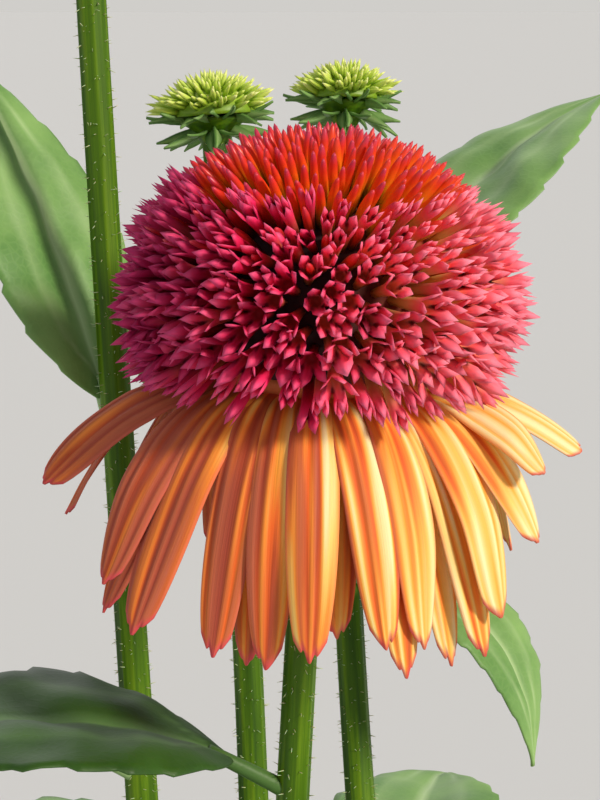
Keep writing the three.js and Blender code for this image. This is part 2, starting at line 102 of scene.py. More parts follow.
# %% [markdown]
# ## One function for nodes, one for colours
#
# A material is a small graph. Everything that such a graph needs can be said in one call: the kind of
# node, its settings, and what feeds its sockets. Colours are written as sRGB hex, as on a paint chart,
# and turned to the linear values that a renderer adds and multiplies.

# %% Helpers for nodes and colours


def linear(hex_colour):
    """An sRGB hex colour as linear red, green, blue and alpha."""
    channels = [int(hex_colour[i:i + 2], 16) / 255 for i in (1, 3, 5)]
    return [c / 12.92 if c <= 0.04045 else ((c + 0.055) / 1.055) ** 2.4 for c in channels] + [1.0]


def add(tree, kind, inputs=None, stops=None, **settings):
    """Adds a node. A socket is found by its name, or by its number where names repeat."""
    node = tree.nodes.new(kind)
    for name, value in settings.items():
        setattr(node, name, value)
    for key, value in (inputs or {}).items():
        named = isinstance(key, str)
        socket = next(s for s in node.inputs if s.enabled and s.name == key) if named else node.inputs[key]
        if isinstance(value, bpy.types.Node):
            value = next(output for output in value.outputs if output.enabled)
        if isinstance(value, bpy.types.NodeSocket):
            tree.links.new(value, socket)
        else:
            socket.default_value = value
    if stops:
        elements = node.color_ramp.elements
        elements.remove(elements[1])
        elements[0].position, elements[0].color = stops[0][0], linear(stops[0][1])
        for place, colour in stops[1:]:
            elements.new(place).color = linear(colour)
    return node


def new_finish(name, roughness, **values):
    """A material with its shader, whose even values are set on the shader's own sockets."""
    material = bpy.data.materials.new(name)
    material.use_nodes = True
    shader = material.node_tree.nodes["Principled BSDF"]
    shader.inputs["Roughness"].default_value = roughness
    for label, value in values.items():
        shader.inputs[label.replace("_", " ").title().replace("Ior", "IOR")].default_value = value
    return material, material.node_tree, shader


print("middle grey #808080 is", round(linear("#808080")[0], 3), "of full light")


# %% [markdown]
# ## Meshes from parts
#
# Petals, leaves and stems are all drawn by formulas. A part is three things: its points in millimetres,
# its faces, and its marks, which are numbers that each point carries for the material, such as how far
# along the petal it lies. Parts are gathered into one mesh, so a whole skirt of rays is one piece.

# %% Helpers for pieces


def gather(parts):
    """Several parts as one."""
    points, faces, marks = [], [], {}
    for part_points, part_faces, part_marks in parts:
        start = len(points)
        points += part_points
        faces += [[start + corner for corner in face] for face in part_faces]
        for label, values in part_marks.items():
            marks.setdefault(label, []).extend(values)
    return points, faces, marks


def moved(part, matrix):
    """A part carried by a matrix in millimetres."""
    points, faces, marks = part
    return [matrix @ Vector(point) for point in points], faces, marks


def make_piece(name, part, material=None, smooth=True):
    """An object from a part, with its faces turned outwards."""
    points, faces, marks = part
    mesh = bpy.data.meshes.new(name)
    mesh.from_pydata([Vector(point) * MM for point in points], [], faces)
    for label, values in marks.items():
        mesh.attributes.new(label, "FLOAT", "POINT").data.foreach_set("value", values)
    work = bmesh.new()
    work.from_mesh(mesh)
    bmesh.ops.recalc_face_normals(work, faces=work.faces)
    for face in work.faces:
        face.smooth = smooth
    work.to_mesh(mesh)
    work.free()
    if material:
        mesh.materials.append(material)
    piece = bpy.data.objects.new(name, mesh)
    bpy.context.scene.collection.objects.link(piece)
    return piece


def keep(piece, slot, *replaced):
    """Ties a finished piece to the plant's body and hides the solids that it stands for. slot is not used.
    """
    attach(piece, ROOT)
    if replaced:
        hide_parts(*replaced)
    triangles = sum(len(face.vertices) - 2 for face in piece.data.polygons)
    print(piece.name, triangles, "triangles")


# %% [markdown]
# Two shapes make most parts. A blade is a sheet of points laid out by a formula, with a second sheet
# under it and walls round the edge, so it is closed and has a thickness. A lathe turns a profile.

# %% Blades and lathes


def sheet(rows, columns, place, thickness):
    """A thin closed blade. place(along, across) gives a point of its middle surface and the normal."""
    points, marks = [], {"along": [], "across": [], "under": []}
    for under in (0, 1):
        for row in range(rows + 1):
            for column in range(columns + 1):
                along, across = row / rows, column / columns * 2 - 1
                point, normal = place(along, across)
                half = thickness(along, across) / 2
                points.append(point + normal * (-half if under else half))
                marks["along"].append(along)
                marks["across"].append(across)
                marks["under"].append(under)
    width = columns + 1
    lower = (rows + 1) * width
    faces = []
    for row in range(rows):
        for column in range(columns):
            a = row * width + column
            faces.append([a, a + width, a + width + 1, a + 1])
            faces.append([lower + a, lower + a + 1, lower + a + width + 1, lower + a + width])
        left, right = row * width, row * width + columns
        faces.append([left, lower + left, lower + left + width, left + width])
        faces.append([right, right + width, lower + right + width, lower + right])
    for column in range(columns):
        tip = rows * width + column
        faces.append([column, column + 1, lower + column + 1, lower + column])
        faces.append([tip, lower + tip, lower + tip + 1, tip + 1])
    return points, faces, marks


def turned(profile, sides, bend=0.0):
    """A closed lathe about Z from (radius, height) points that start and end on the axis."""
    low, high = profile[0][1], profile[-1][1]
    points, along = [Vector((0, 0, low))], [0.0]
    for radius, height in profile[1:-1]:
        for side in range(sides):
            angle = side / sides * math.tau
            points.append(Vector((radius * math.cos(angle), radius * math.sin(angle), height)))
            along.append((height - low) / (high - low))
    points.append(Vector((0, 0, high)))
    along.append(1.0)
    for point in points:
        point.x += bend * max(0.0, point.z) ** 2
    rings = len(profile) - 2
    faces = []
    for side in range(sides):
        following = (side + 1) % sides
        faces.append([0, 1 + following, 1 + side])
        for ring in range(rings - 1):
            a, b = 1 + ring * sides + side, 1 + ring * sides + following
            faces.append([a, b, b + sides, a + sides])
        top = 1 + (rings - 1) * sides
        faces.append([top + side, top + following, len(points) - 1])
    return points, faces, {"along": along}


print("a plain drum with four sides has", len(turned([(0, 0), (1, 0), (1, 1), (0, 1)], 4)[1]), "faces")


# %% [markdown]
# Stems, stalks and the middle lines of petals and leaves are Bezier curves with three or four handles.
# A tube follows such a curve, and a soft step and a mix shape everything that swells or fades.

# %% Curves and stalks


def curve_point(handles, share):
    """A point of a Bezier curve."""
    points = [Vector(handle) for handle in handles]
    while len(points) > 1:
        points = [a.lerp(b, share) for a, b in zip(points, points[1:])]
    return points[0]


def curve_way(handles, share):
    """The direction of a Bezier curve."""
    small = 0.005
    ahead = curve_point(handles, min(1.0, share + small))
    return (ahead - curve_point(handles, max(0.0, share - small))).normalized()


def share_at_length(handles, wanted):
    """The curve's own share at a share of its length."""
    steps = 200
    points = [curve_point(handles, i / steps) for i in range(steps + 1)]
    lengths = [0.0]
    for a, b in zip(points, points[1:]):
        lengths.append(lengths[-1] + (b - a).length)
    target = wanted * lengths[-1]
    step = next(i for i in range(1, steps + 1) if lengths[i] >= target - 1e-9)
    part = (target - lengths[step - 1]) / (lengths[step] - lengths[step - 1])
    return (step - 1 + part) / steps


def tube(handles, radius_at, sides, rings):
    """A round stalk along a curve. radius_at(share, angle) gives its radius."""
    side_way = Vector((1, 0, 0))
    points, marks = [], {"along": [], "around": []}
    for ring in range(rings + 1):
        share = ring / rings
        way = curve_way(handles, share)
        side_way = (side_way - way * side_way.dot(way)).normalized()
        other = way.cross(side_way)
        for side in range(sides):
            angle = side / sides * math.tau
            out = side_way * math.cos(angle) + other * math.sin(angle)
            points.append(curve_point(handles, share) + out * radius_at(share, angle))
            marks["along"].append(share)
            marks["around"].append(side / sides)
    faces = [list(range(sides))[::-1], [rings * sides + side for side in range(sides)]]
    for ring in range(rings):
        for side in range(sides):
            a, b = ring * sides + side, ring * sides + (side + 1) % sides
            faces.append([a, b, b + sides, a + sides])
    return points, faces, marks


def smooth_step(low, high, value):
    """0 below low, 1 above high, and a soft rise between."""
    share = min(1.0, max(0.0, (value - low) / (high - low)))
    return share * share * (3 - 2 * share)


def mix(low, high, share):
    return low + (high - low) * share


print("a soft step halfway is", smooth_step(0, 1, 0.5))


# %% [markdown]
# ## Growing a flower head
#
# Florets, spikes and thorns stand on a dome in the spiral of a sunflower: each one is turned from the
# last by the golden angle, and each takes the same share of the dome's surface. That is a rule, so
# Geometry Nodes grow it. The tree works out the place of each floret from its number, stands one of
# several forms there, stretches it to the head's outer surface, and leaves a random number on it for
# the material. The inputs are the head's sizes, so one tree serves the open bloom and the young heads.

# %% Helpers for trees
GOLDEN_ANGLE = math.pi * (3 - math.sqrt(5))


def new_tree(name, sizes):
    """An empty Geometry Nodes tree with named inputs, given as name: (kind of socket, value)."""
    tree = bpy.data.node_groups.new(name, "GeometryNodeTree")
    tree.interface.new_socket("Geometry", in_out="INPUT", socket_type="NodeSocketGeometry")
    tree.interface.new_socket("Geometry", in_out="OUTPUT", socket_type="NodeSocketGeometry")
    for label, (kind, value) in sizes.items():
        socket = tree.interface.new_socket(label, in_out="INPUT", socket_type="NodeSocket" + kind)
        if value is not None:
            socket.default_value = value
    return tree, add(tree, "NodeGroupInput").outputs


def finish_tree(tree, made, skin):
    """Ends a tree: copies are made real, and the material goes on."""
    real = add(tree, "GeometryNodeRealizeInstances", {"Geometry": made})
    add(tree, "NodeGroupOutput", {"Geometry": add(
        tree, "GeometryNodeSetMaterial", {"Geometry": real, "Material": skin},
    )})


def chances(tree, seed, ranges):
    """One random number per copy for each (low, high) range, all from one seed."""
    made = []
    for offset, (low, high) in enumerate(ranges):
        own_seed = add(tree, "ShaderNodeMath", {0: seed, 1: float(offset)}, operation="ADD")
        made.append(add(tree, "FunctionNodeRandomValue", {"Min": low, "Max": high, "Seed": own_seed}))
    return made


print("the golden angle is", round(math.degrees(GOLDEN_ANGLE), 1), "degrees")


# %% [markdown]
# Now the head itself. Where one floret stands follows from its number alone: the golden angle gives
# its bearing, and its share of the dome's surface gives its polar angle. The rest of the tree leans it,
# spins it, stretches it and picks its form.

# %% The tree of a flower head


def head_tree():
    tree, given = new_tree("flower_head", {
        "Count": ("Int", 100), "From Angle": ("Float", 0.0), "To Angle": ("Float", 1.0),
        "Core Radius": ("Float", 0.02), "Core Height": ("Float", 0.0175),
        "Tip Radius": ("Float", 0.031), "Tip Height": ("Float", 0.0265),
        "Form Length": ("Float", 0.011), "Unevenness": ("Float", 0.1), "Wobble": ("Float", 0.05),
        "Slimmer At Top": ("Float", 0.0), "Droop": ("Float", 0.0), "Opening": ("Float", 0.0),
        "Forms": ("Collection", None), "Skin": ("Material", None), "Seed": ("Int", 1),
    })

    def sum_of(operation, *terms):
        return add(tree, "ShaderNodeMath", dict(enumerate(terms)), operation=operation)

    number = add(tree, "GeometryNodeInputIndex")
    share = sum_of("DIVIDE", sum_of("ADD", number, 0.5), given["Count"])
    first, last = sum_of("COSINE", given["From Angle"]), sum_of("COSINE", given["To Angle"])
    cosine = add(tree, "ShaderNodeMix", {"Factor": share, "A": first, "B": last})
    polar = sum_of("ARCCOSINE", cosine)
    around = sum_of("MULTIPLY", number, GOLDEN_ANGLE)
    sine = sum_of("SINE", polar)
    east, north = sum_of("COSINE", around), sum_of("SINE", around)
    out = add(tree, "ShaderNodeCombineXYZ", {
        "X": sum_of("MULTIPLY", sine, east), "Y": sum_of("MULTIPLY", sine, north), "Z": cosine,
    })
    level = add(tree, "ShaderNodeCombineXYZ", {"X": sum_of("MULTIPLY", north, -1.0), "Y": east})

    def reach(radius, height):
        slant = add(tree, "ShaderNodeCombineXYZ", {
            "X": sum_of("DIVIDE", sine, given[radius]), "Y": sum_of("DIVIDE", cosine, given[height]),
        })
        steepness = add(tree, "ShaderNodeVectorMath", {0: slant}, operation="LENGTH").outputs[1]
        return sum_of("DIVIDE", 1.0, steepness)

    root_reach, tip_reach = reach("Core Radius", "Core Height"), reach("Tip Radius", "Tip Height")
    shorter, tilt, sway, spin, girth, tone, pick = chances(tree, given["Seed"], [
        (0.0, 1.0), (-1.0, 1.0), (-1.0, 1.0), (0.0, math.tau), (0.9, 1.12), (0.0, 1.0), (-0.8, 0.8),
    ])
    place = add(tree, "ShaderNodeVectorMath", {0: out, "Scale": root_reach}, operation="SCALE")
    count = add(tree, "GeometryNodePoints", {"Count": given["Count"], "Position": place})

    rotation = add(
        tree, "FunctionNodeAxesToRotation", {"Primary Axis": out, "Secondary Axis": level},
        primary_axis="Z", secondary_axis="X",
    )
    droop = sum_of("MULTIPLY", given["Droop"], sum_of("POWER", share, 3.0))
    lean = add(tree, "ShaderNodeCombineXYZ", {
        "X": sum_of("ADD", sum_of("MULTIPLY", tilt, given["Wobble"]), droop),
        "Y": sum_of("MULTIPLY", sway, given["Wobble"]),
    })
    leaning = add(
        tree, "FunctionNodeRotateRotation",
        {"Rotation": rotation, "Rotate By": add(tree, "FunctionNodeEulerToRotation", {"Euler": lean})},
        rotation_space="LOCAL",
    )
    turning = add(tree, "ShaderNodeCombineXYZ", {"Z": spin})
    standing = add(
        tree, "FunctionNodeRotateRotation",
        {"Rotation": leaning, "Rotate By": add(tree, "FunctionNodeEulerToRotation", {"Euler": turning})},
        rotation_space="LOCAL",
    )
    length = sum_of("SUBTRACT", tip_reach, root_reach)
    less = sum_of("SUBTRACT", 1.0, sum_of("MULTIPLY", shorter, given["Unevenness"]))
    stretch = sum_of("DIVIDE", sum_of("MULTIPLY", length, less), given["Form Length"])
    near_top = sum_of("MAXIMUM", sum_of("SUBTRACT", 1.0, sum_of("MULTIPLY", share, 2.5)), 0.0)
    slim = sum_of("SUBTRACT", girth, sum_of("MULTIPLY", near_top, given["Slimmer At Top"]))
    size = add(tree, "ShaderNodeCombineXYZ", {"X": slim, "Y": slim, "Z": stretch})
    kinds = add(
        tree, "GeometryNodeCollectionInfo",
        {"Collection": given["Forms"], "Separate Children": True, "Reset Children": True},
    )
    opened = sum_of("ADD", sum_of("MULTIPLY", share, given["Opening"]), pick)
    kind = sum_of("MAXIMUM", sum_of("ROUND", opened), 0.0)
    stood = add(tree, "GeometryNodeInstanceOnPoints", {
        "Points": count, "Instance": kinds, "Pick Instance": True, "Instance Index": kind,
        "Rotation": standing, "Scale": size,
    })
    marked = stood
    for label, value in (("tone", tone), ("head_share", share)):
        marked = add(
            tree, "GeometryNodeStoreNamedAttribute", {"Geometry": marked, "Name": label, "Value": value},
            data_type="FLOAT", domain="INSTANCE",
        )
    finish_tree(tree, marked, given["Skin"])
    return tree


HEAD_TREE = head_tree()
print("the head tree has", len(HEAD_TREE.nodes), "nodes")

# %% [markdown]
# ## Scattering over a skin
#
# Bristles on a stem and crumbs on compost follow a surface instead of a rule. A second tree scatters
# points over a mesh, so many to the square metre, and stands a form on each, upright on the surface or
# tumbled. A form is small and has few faces, because it is repeated thousands of times.

# %% The tree that scatters


def scatter_tree():
    tree, given = new_tree("scatter", {
        "Per Square Metre": ("Float", 1000.0), "Smallest": ("Float", 0.5), "Largest": ("Float", 1.0),
        "Wobble": ("Float", 0.3), "Forms": ("Collection", None), "Skin": ("Material", None),
        "Seed": ("Int", 1),
    })
    spread = add(tree, "GeometryNodeDistributePointsOnFaces", {
        "Mesh": given["Geometry"], "Density": given["Per Square Metre"], "Seed": given["Seed"],
    }, distribute_method="RANDOM")
    tilt, sway, spin, size, tone = chances(tree, given["Seed"], [
        (-1.0, 1.0), (-1.0, 1.0), (0.0, math.tau), (0.0, 1.0), (0.0, 1.0),
    ])
    lean = add(tree, "ShaderNodeCombineXYZ", {
        "X": add(tree, "ShaderNodeMath", {0: tilt, 1: given["Wobble"]}, operation="MULTIPLY"),
        "Y": add(tree, "ShaderNodeMath", {0: sway, 1: given["Wobble"]}, operation="MULTIPLY"),
        "Z": spin,
    })
    standing = add(
        tree, "FunctionNodeRotateRotation",
        {"Rotation": spread.outputs["Rotation"],
         "Rotate By": add(tree, "FunctionNodeEulerToRotation", {"Euler": lean})},
        rotation_space="LOCAL",
    )
    kinds = add(
        tree, "GeometryNodeCollectionInfo",
        {"Collection": given["Forms"], "Separate Children": True, "Reset Children": True},
    )
    stood = add(tree, "GeometryNodeInstanceOnPoints", {
        "Points": spread, "Instance": kinds, "Pick Instance": True, "Rotation": standing,
        "Scale": add(tree, "ShaderNodeMix", {
            "Factor": size, "A": given["Smallest"], "B": given["Largest"],
        }),
    })
    marked = add(
        tree, "GeometryNodeStoreNamedAttribute", {"Geometry": stood, "Name": "tone", "Value": tone},
        data_type="FLOAT", domain="INSTANCE",
    )
    finish_tree(tree, marked, given["Skin"])
    return tree


SCATTER_TREE = scatter_tree()
print("the scattering tree has", len(SCATTER_TREE.nodes), "nodes")


# %% [markdown]
# A tree runs inside a modifier. Its inputs are set by their identifiers before anything is evaluated,
# the evaluated result is kept as a plain mesh, and the modifier and the forms are thrown away.

# %% Running a tree


def grow(name, tree, forms, skin, ground=None, **sizes):
    """Runs a tree once and keeps its result as a plain mesh. The forms are used up."""
    group = bpy.data.collections.new(name + "_forms")
    bpy.context.scene.collection.children.link(group)
    for form in forms:
        group.objects.link(form)
        bpy.context.scene.collection.objects.unlink(form)
    carrier = bpy.data.objects.new(name, ground.data.copy() if ground else bpy.data.meshes.new(name))
    bpy.context.scene.collection.objects.link(carrier)
    modifier = carrier.modifiers.new("growth", "NODES")
    modifier.node_group = tree
    values = {label.replace("_", " ").title(): value for label, value in sizes.items()}
    values.update({"Forms": group, "Skin": skin})
    for item in tree.interface.items_tree:
        if item.item_type == "SOCKET" and item.in_out == "INPUT" and item.name in values:
            modifier[item.identifier] = values.pop(item.name)
    assert not values, values
    depsgraph = bpy.context.evaluated_depsgraph_get()
    mesh = bpy.data.meshes.new_from_object(
        carrier.evaluated_get(depsgraph), preserve_all_data_layers=True, depsgraph=depsgraph,
    )
    for form in [carrier, *group.objects]:
        bpy.data.objects.remove(form)
    bpy.data.collections.remove(group)
    piece = bpy.data.objects.new(name, mesh)
    bpy.context.scene.collection.objects.link(piece)
    return piece


print("trees ready:", HEAD_TREE.name, "and", SCATTER_TREE.name)

# %% [markdown]
# ## The head's own frame
#
# A flower head is built upright about its own axis and then leaned over as it grew. The open bloom
# leans three degrees to the right, so the same matrix carries its cap, pompon, rays and bracts.

# %% Frames of the heads


def head_frame(place, lean):
    axis = Vector((math.tan(math.radians(lean[0])), math.tan(math.radians(lean[1])), 1)).normalized()
    turn_to_axis = Vector((0, 0, 1)).rotation_difference(axis).to_matrix().to_4x4()
    return Matrix.Translation(place) @ turn_to_axis, axis


def in_metres(matrix):
    """A matrix in millimetres, for a mesh that is in metres."""
    scaled = matrix.copy()
    scaled.translation *= MM
    return scaled


BLOOM = {"lean": (3, 0), "tip_radius": 31, "tip_height": 26.5, "core_radius": 20, "core_height": 17.5,
         "core_foot": 9, "hub_radius": 15.5, "hub_height": 5, "neck_radius": 7, "neck_height": 7}
GAP = 0.3
bloom_frame, bloom_axis = head_frame(BLOOM_CENTRE, BLOOM["lean"])
print("the bloom's axis:", [round(part, 3) for part in bloom_axis])

# %% [markdown]
# ## The skin of a floret
#
# A floret is a wet, slightly see-through tube. It is ochre at its root, deep crimson along the
# tube and pink on its lobes. On the side of the head that has opened longest, which is also the side
# towards the sun, it runs to coral with creamy roots: partly its own fading and partly painted sunlight.
# On the side away from the sun it is mixed towards a darker plum, which is painted shade. Marks on the
# mesh say how far along the floret a point lies and whether it is inside the mouth. Both sides are told
# by Object coordinates, since every piece shares the plant's own frame.

# %% Floret skin
# Where the coral side begins and ends: partly florets that have faded, partly painted sunlight.
FADED_AND_SUNLIT_FROM, FADED_AND_SUNLIT_TO = -8 * MM, 24 * MM


def side_share(tree, low, high):
    """How far to the right a point lies, from 0 at low to 1 at high."""
    place = add(tree, "ShaderNodeTexCoord").outputs["Object"]
    right = add(tree, "ShaderNodeSeparateXYZ", {"Vector": place})
    return add(tree, "ShaderNodeMapRange", {
        "Value": right, "From Min": low, "From Max": high,
    }, interpolation_type="SMOOTHSTEP")


def floret_finish():
    material, tree, shader = new_finish(
        "floret_skin", 0.55, subsurface_weight=0.1, subsurface_radius=(0.9, 0.2, 0.2),
        subsurface_scale=1 * MM, specular_ior_level=0.15,
    )
    along = add(tree, "ShaderNodeAttribute", attribute_name="along").outputs["Fac"]
    tone = add(tree, "ShaderNodeAttribute", attribute_name="tone").outputs["Fac"]
    inner = add(tree, "ShaderNodeAttribute", attribute_name="inner").outputs["Fac"]
    crimson = add(tree, "ShaderNodeValToRGB", {"Fac": along}, stops=[
        (0.0, "#784810"), (0.25, "#981428"), (0.55, "#D41844"), (0.74, "#F42C68"), (1.0, "#FF6494"),
    ])
    coral = add(tree, "ShaderNodeValToRGB", {"Fac": along}, stops=[
        (0.0, "#F4D860"), (0.4, "#FFD080"), (0.56, "#FFA07C"), (0.73, "#FF6878"), (1.0, "#FF90A8"),
    ])
    plum = add(tree, "ShaderNodeValToRGB", {"Fac": along}, stops=[
        (0.0, "#3A1A10"), (0.3, "#580820"), (0.7, "#A81048"), (1.0, "#D83C7C"),
    ])
    faded_and_sunlit = add(tree, "ShaderNodeMath", {
        0: side_share(tree, FADED_AND_SUNLIT_FROM, FADED_AND_SUNLIT_TO),
        1: add(tree, "ShaderNodeMapRange", {"Value": tone, "To Min": -0.18, "To Max": 0.18}),
    }, operation="ADD", use_clamp=True)
    # Painted shade: on the left, away from the sun, the florets are mixed towards the darker plum.
    shaded = side_share(tree, -8 * MM, -28 * MM)
    left = add(tree, "ShaderNodeMix", {"Factor": shaded, "A": crimson, "B": plum}, data_type="RGBA")
    outside = add(tree, "ShaderNodeMix", {"Factor": faded_and_sunlit, "A": left, "B": coral}, data_type="RGBA")
    throat = add(tree, "ShaderNodeMix", {
        "Factor": faded_and_sunlit, "A": linear("#A41420"), "B": linear("#F07848"),
    }, data_type="RGBA")
    deep = add(tree, "ShaderNodeMath", {0: inner, 1: 0.85}, operation="MULTIPLY")
    colour = add(tree, "ShaderNodeMix", {"Factor": deep, "A": outside, "B": throat}, data_type="RGBA")
    bright = add(tree, "ShaderNodeMapRange", {"Value": tone, "To Min": 0.8, "To Max": 1.15})
    toned = add(tree, "ShaderNodeHueSaturation", {"Value": bright, "Color": colour})
    tree.links.new(toned.outputs[0], shader.inputs["Base Color"])
    return material


FLORET_SKIN = floret_finish()
print(FLORET_SKIN.name, "has", len(FLORET_SKIN.node_tree.nodes), "nodes")

# %% [markdown]
# ## The florets
#
# Each floret is a tube that widens to a mouth with four or five pointed lobes of unequal length. Its
# outer and inner walls meet at the edges of the lobes, so it is one closed skin that is thickest in the
# middle of a lobe. Eight forms run from nearly closed to wide open, and the tree picks wider ones lower
# down the head, where the florets opened first.

# %% Floret forms
FLORET_LENGTH = 11.0
ROOT_DEPTH = 1.5
ROOT_RADIUS = 0.55
MOUTH_RADII = (0.95, 1.55)
LIP = 0.3
WALL = 0.12
PIT_DEPTH = 2.4
LOBE_LENGTHS = (2.8, 3.8)
FLARES = (-0.1, 1.5)
TUBE_RINGS = ((0.4, 0.7, 0.85), (0.78, 0.85, 1.15))


def floret_form(name, lobes, opening, lobe_length, chance):
    """One floret along Z, its root at 0. opening runs from 0, closed, to 1, wide open.

    Each pair of values above is for a closed and an open floret. A ring of the tube is given by its
    share of the tube's height and such a pair of radii.
    """
    sides = 2 * lobes
    throat = FLORET_LENGTH - lobe_length
    mouth = mix(*MOUTH_RADII, opening)
    points, inner = [], []

    def put(angle, radius, height, inside=0.0, aside=0.0):
        x = radius * math.cos(angle) - aside * math.sin(angle)
        y = radius * math.sin(angle) + aside * math.cos(angle)
        points.append(Vector((x, y, height)))
        inner.append(inside)
        return len(points) - 1

    def ring(radius, height, inside=0.0):
        return [put(k / sides * math.tau, radius, height, inside) for k in range(sides)]

    outer = [ring(ROOT_RADIUS, -ROOT_DEPTH)]
    outer += [ring(mix(*radii, opening), throat * share) for share, *radii in TUBE_RINGS]
    outer.append(ring(mouth, throat))
    lining = [
        put(k / sides * math.tau, mouth - LIP, throat, 0.3) if k % 2 == 0 else outer[-1][k]
        for k in range(sides)
    ]
    pit = ring(mouth * 0.5, throat - PIT_DEPTH, 1.0)
    faces = [outer[0][::-1], pit]
    for k in range(sides):
        after = (k + 1) % sides
        for low, high in zip(outer, outer[1:]):
            faces.append([low[k], low[after], high[after], high[k]])
        faces.append([pit[k], pit[after], lining[after], lining[k]])
    for lobe in range(lobes):
        middle = 2 * lobe
        angle = middle / sides * math.tau
        before, after = (middle - 1) % sides, (middle + 1) % sides
        length = lobe_length * chance.uniform(0.7, 1.2)
        flare = mix(*FLARES, opening) * chance.uniform(0.6, 1.3)
        half = mouth * math.sin(math.tau / sides)
        level = throat + length * 0.45
        middle_radius = mouth + flare * 0.4
        left = put(angle, middle_radius - WALL, level, 0.0, -half)
        right = put(angle, middle_radius - WALL, level, 0.0, half)
        back = put(angle, middle_radius + WALL, level)
        front = put(angle, middle_radius - LIP, level, 0.1)
        tip = put(angle, mouth + flare, throat + length)
        faces += [
            [outer[-1][before], outer[-1][middle], back, left],
            [outer[-1][middle], outer[-1][after], right, back],
            [left, back, tip], [back, right, tip],
            [lining[before], left, front, lining[middle]],
            [lining[middle], front, right, lining[after]],
            [left, tip, front], [front, tip, right],
        ]
    along = [min(1.0, max(0.0, point.z / FLORET_LENGTH)) for point in points]
    return make_piece(name, (points, faces, {"along": along, "inner": inner}))


def floret_forms():
    chance = random.Random(5)
    return [
        floret_form(f"floret_{i}", 4 + i % 2, i / 7, mix(*LOBE_LENGTHS, chance.random()), chance)
        for i in range(8)
    ]


print("a floret is", FLORET_LENGTH, "mm long and up to", 2 * MOUTH_RADII[1], "mm wide at its mouth")


# %% [markdown]
# The pompon is one run of the head's tree: 450 florets from 50 degrees off the top down to a little
# below the widest level, where the lowest ones droop over the feet of the rays.

# %% The pompon


def bloom_sizes(out=0.0, up=0.0):
    """The sizes of the bloom's head for its tree: the core, and the surface that the tips reach."""
    return {
        "core_radius": BLOOM["core_radius"] * MM, "core_height": BLOOM["core_height"] * MM,
        "tip_radius": (BLOOM["tip_radius"] + out) * MM, "tip_height": (BLOOM["tip_height"] + up) * MM,
    }


florets = grow(
    "bloom_florets", HEAD_TREE, floret_forms(), FLORET_SKIN, count=450, seed=11,
    from_angle=math.radians(50), to_angle=math.radians(113), unevenness=0.25, wobble=0.15,
    slimmer_at_top=0.2, droop=0.2, opening=9.0, form_length=FLORET_LENGTH * MM,
    **bloom_sizes(out=1.4, up=0.4),
)
florets.data.transform(in_metres(bloom_frame))
keep(florets, "floret_crimson", "bloom_floret_pompon")

# %% [markdown]
# ## What the florets stand on
#
# Between the florets the eye looks down into near darkness, at the cone they grow from. It is a plain
# rough dome whose colour is painted shade and light: nearly black on the side that turns from the light
# and dull orange on the sunny side. Only its shade shows.

# %% The cone under the florets


def cone_finish():
    material, tree, shader = new_finish("cone_painted_shade_and_sun", 0.8)
    # Painted shade and sunlight: nearly black away from the sun, dull orange towards it.
    colour = add(tree, "ShaderNodeMix", {
        "Factor": side_share(tree, 0.0, 26 * MM), "A": linear("#2A060C"), "B": linear("#C04C20"),
    }, data_type="RGBA")
    tree.links.new(colour.outputs[2], shader.inputs["Base Color"])
    return material


def dome(radius, height, foot, steps):
    """The (radius, height) points of a dome from its flat foot to its top."""
    profile = [(0, foot)]
    for step in range(steps):
        level = foot + (height - foot) * step / steps
        own = height if level > 0 else radius
        profile.append((radius * math.sqrt(max(0.0, 1 - (level / own) ** 2)), level))
    return profile + [(0, height)]


core = turned(dome(BLOOM["core_radius"], BLOOM["core_height"], -BLOOM["core_foot"], 16), 48)
cone = make_piece("bloom_cone", moved(core, bloom_frame), cone_finish())
keep(cone, "floret_crimson")

# %% [markdown]
# ## The spikes of the cap
#
# The middle of the head hasn't opened. It is packed with stiff waxy scales, each about 1.4 mm thick and
# tapered to a blunt tip: olive at the root, orange, then red, with a crimson tip that catches the
# light. Towards the sun each colour is mixed with a paler, yellower one, which is painted sunlight.
# Single ones also stand among the florets below.

# %% Spike skin, cap and stray scales
SPIKE_LENGTH = 9.5


def spike_finish(name, stops, painted_sunlit_stops):
    material, tree, shader = new_finish(
        name, 0.32, subsurface_weight=0.08, subsurface_radius=(0.9, 0.25, 0.1),
        subsurface_scale=1 * MM, specular_ior_level=0.4,
    )
    along = add(tree, "ShaderNodeAttribute", attribute_name="along").outputs["Fac"]
    tone = add(tree, "ShaderNodeAttribute", attribute_name="tone").outputs["Fac"]
    shift = add(tree, "ShaderNodeMapRange", {"Value": tone, "To Min": -0.07, "To Max": 0.07})
    place = add(tree, "ShaderNodeMath", {0: along, 1: shift}, operation="ADD")
    # Painted sunlight: towards the sunny side the paler, yellower ramp is mixed in.
    colour = add(tree, "ShaderNodeMix", {
        "Factor": side_share(tree, -16 * MM, 24 * MM),
        "A": add(tree, "ShaderNodeValToRGB", {"Fac": place}, stops=stops),
        "B": add(tree, "ShaderNodeValToRGB", {"Fac": place}, stops=painted_sunlit_stops),
    }, data_type="RGBA")
    tree.links.new(colour.outputs[2], shader.inputs["Base Color"])
    return material


SPIKE_WAX = spike_finish("spike_wax", [
    (0.14, "#56680C"), (0.34, "#B88C10"), (0.52, "#EC7010"), (0.68, "#F04418"), (0.86, "#DC2C30"),
    (0.97, "#C83458"),
], [
    (0.14, "#A4B018"), (0.4, "#F8B424"), (0.62, "#FF8A20"), (0.8, "#F8541C"), (0.9, "#E8402C"),
    (0.98, "#D03C50"),
])
SCALE_WAX = spike_finish("scale_wax", [
    (0.2, "#5A2A08"), (0.5, "#981C14"), (0.8, "#C81C28"), (0.97, "#D83C50"),
], [
    (0.2, "#C88820"), (0.5, "#E86424"), (0.8, "#F04830"), (0.97, "#E04450"),
])


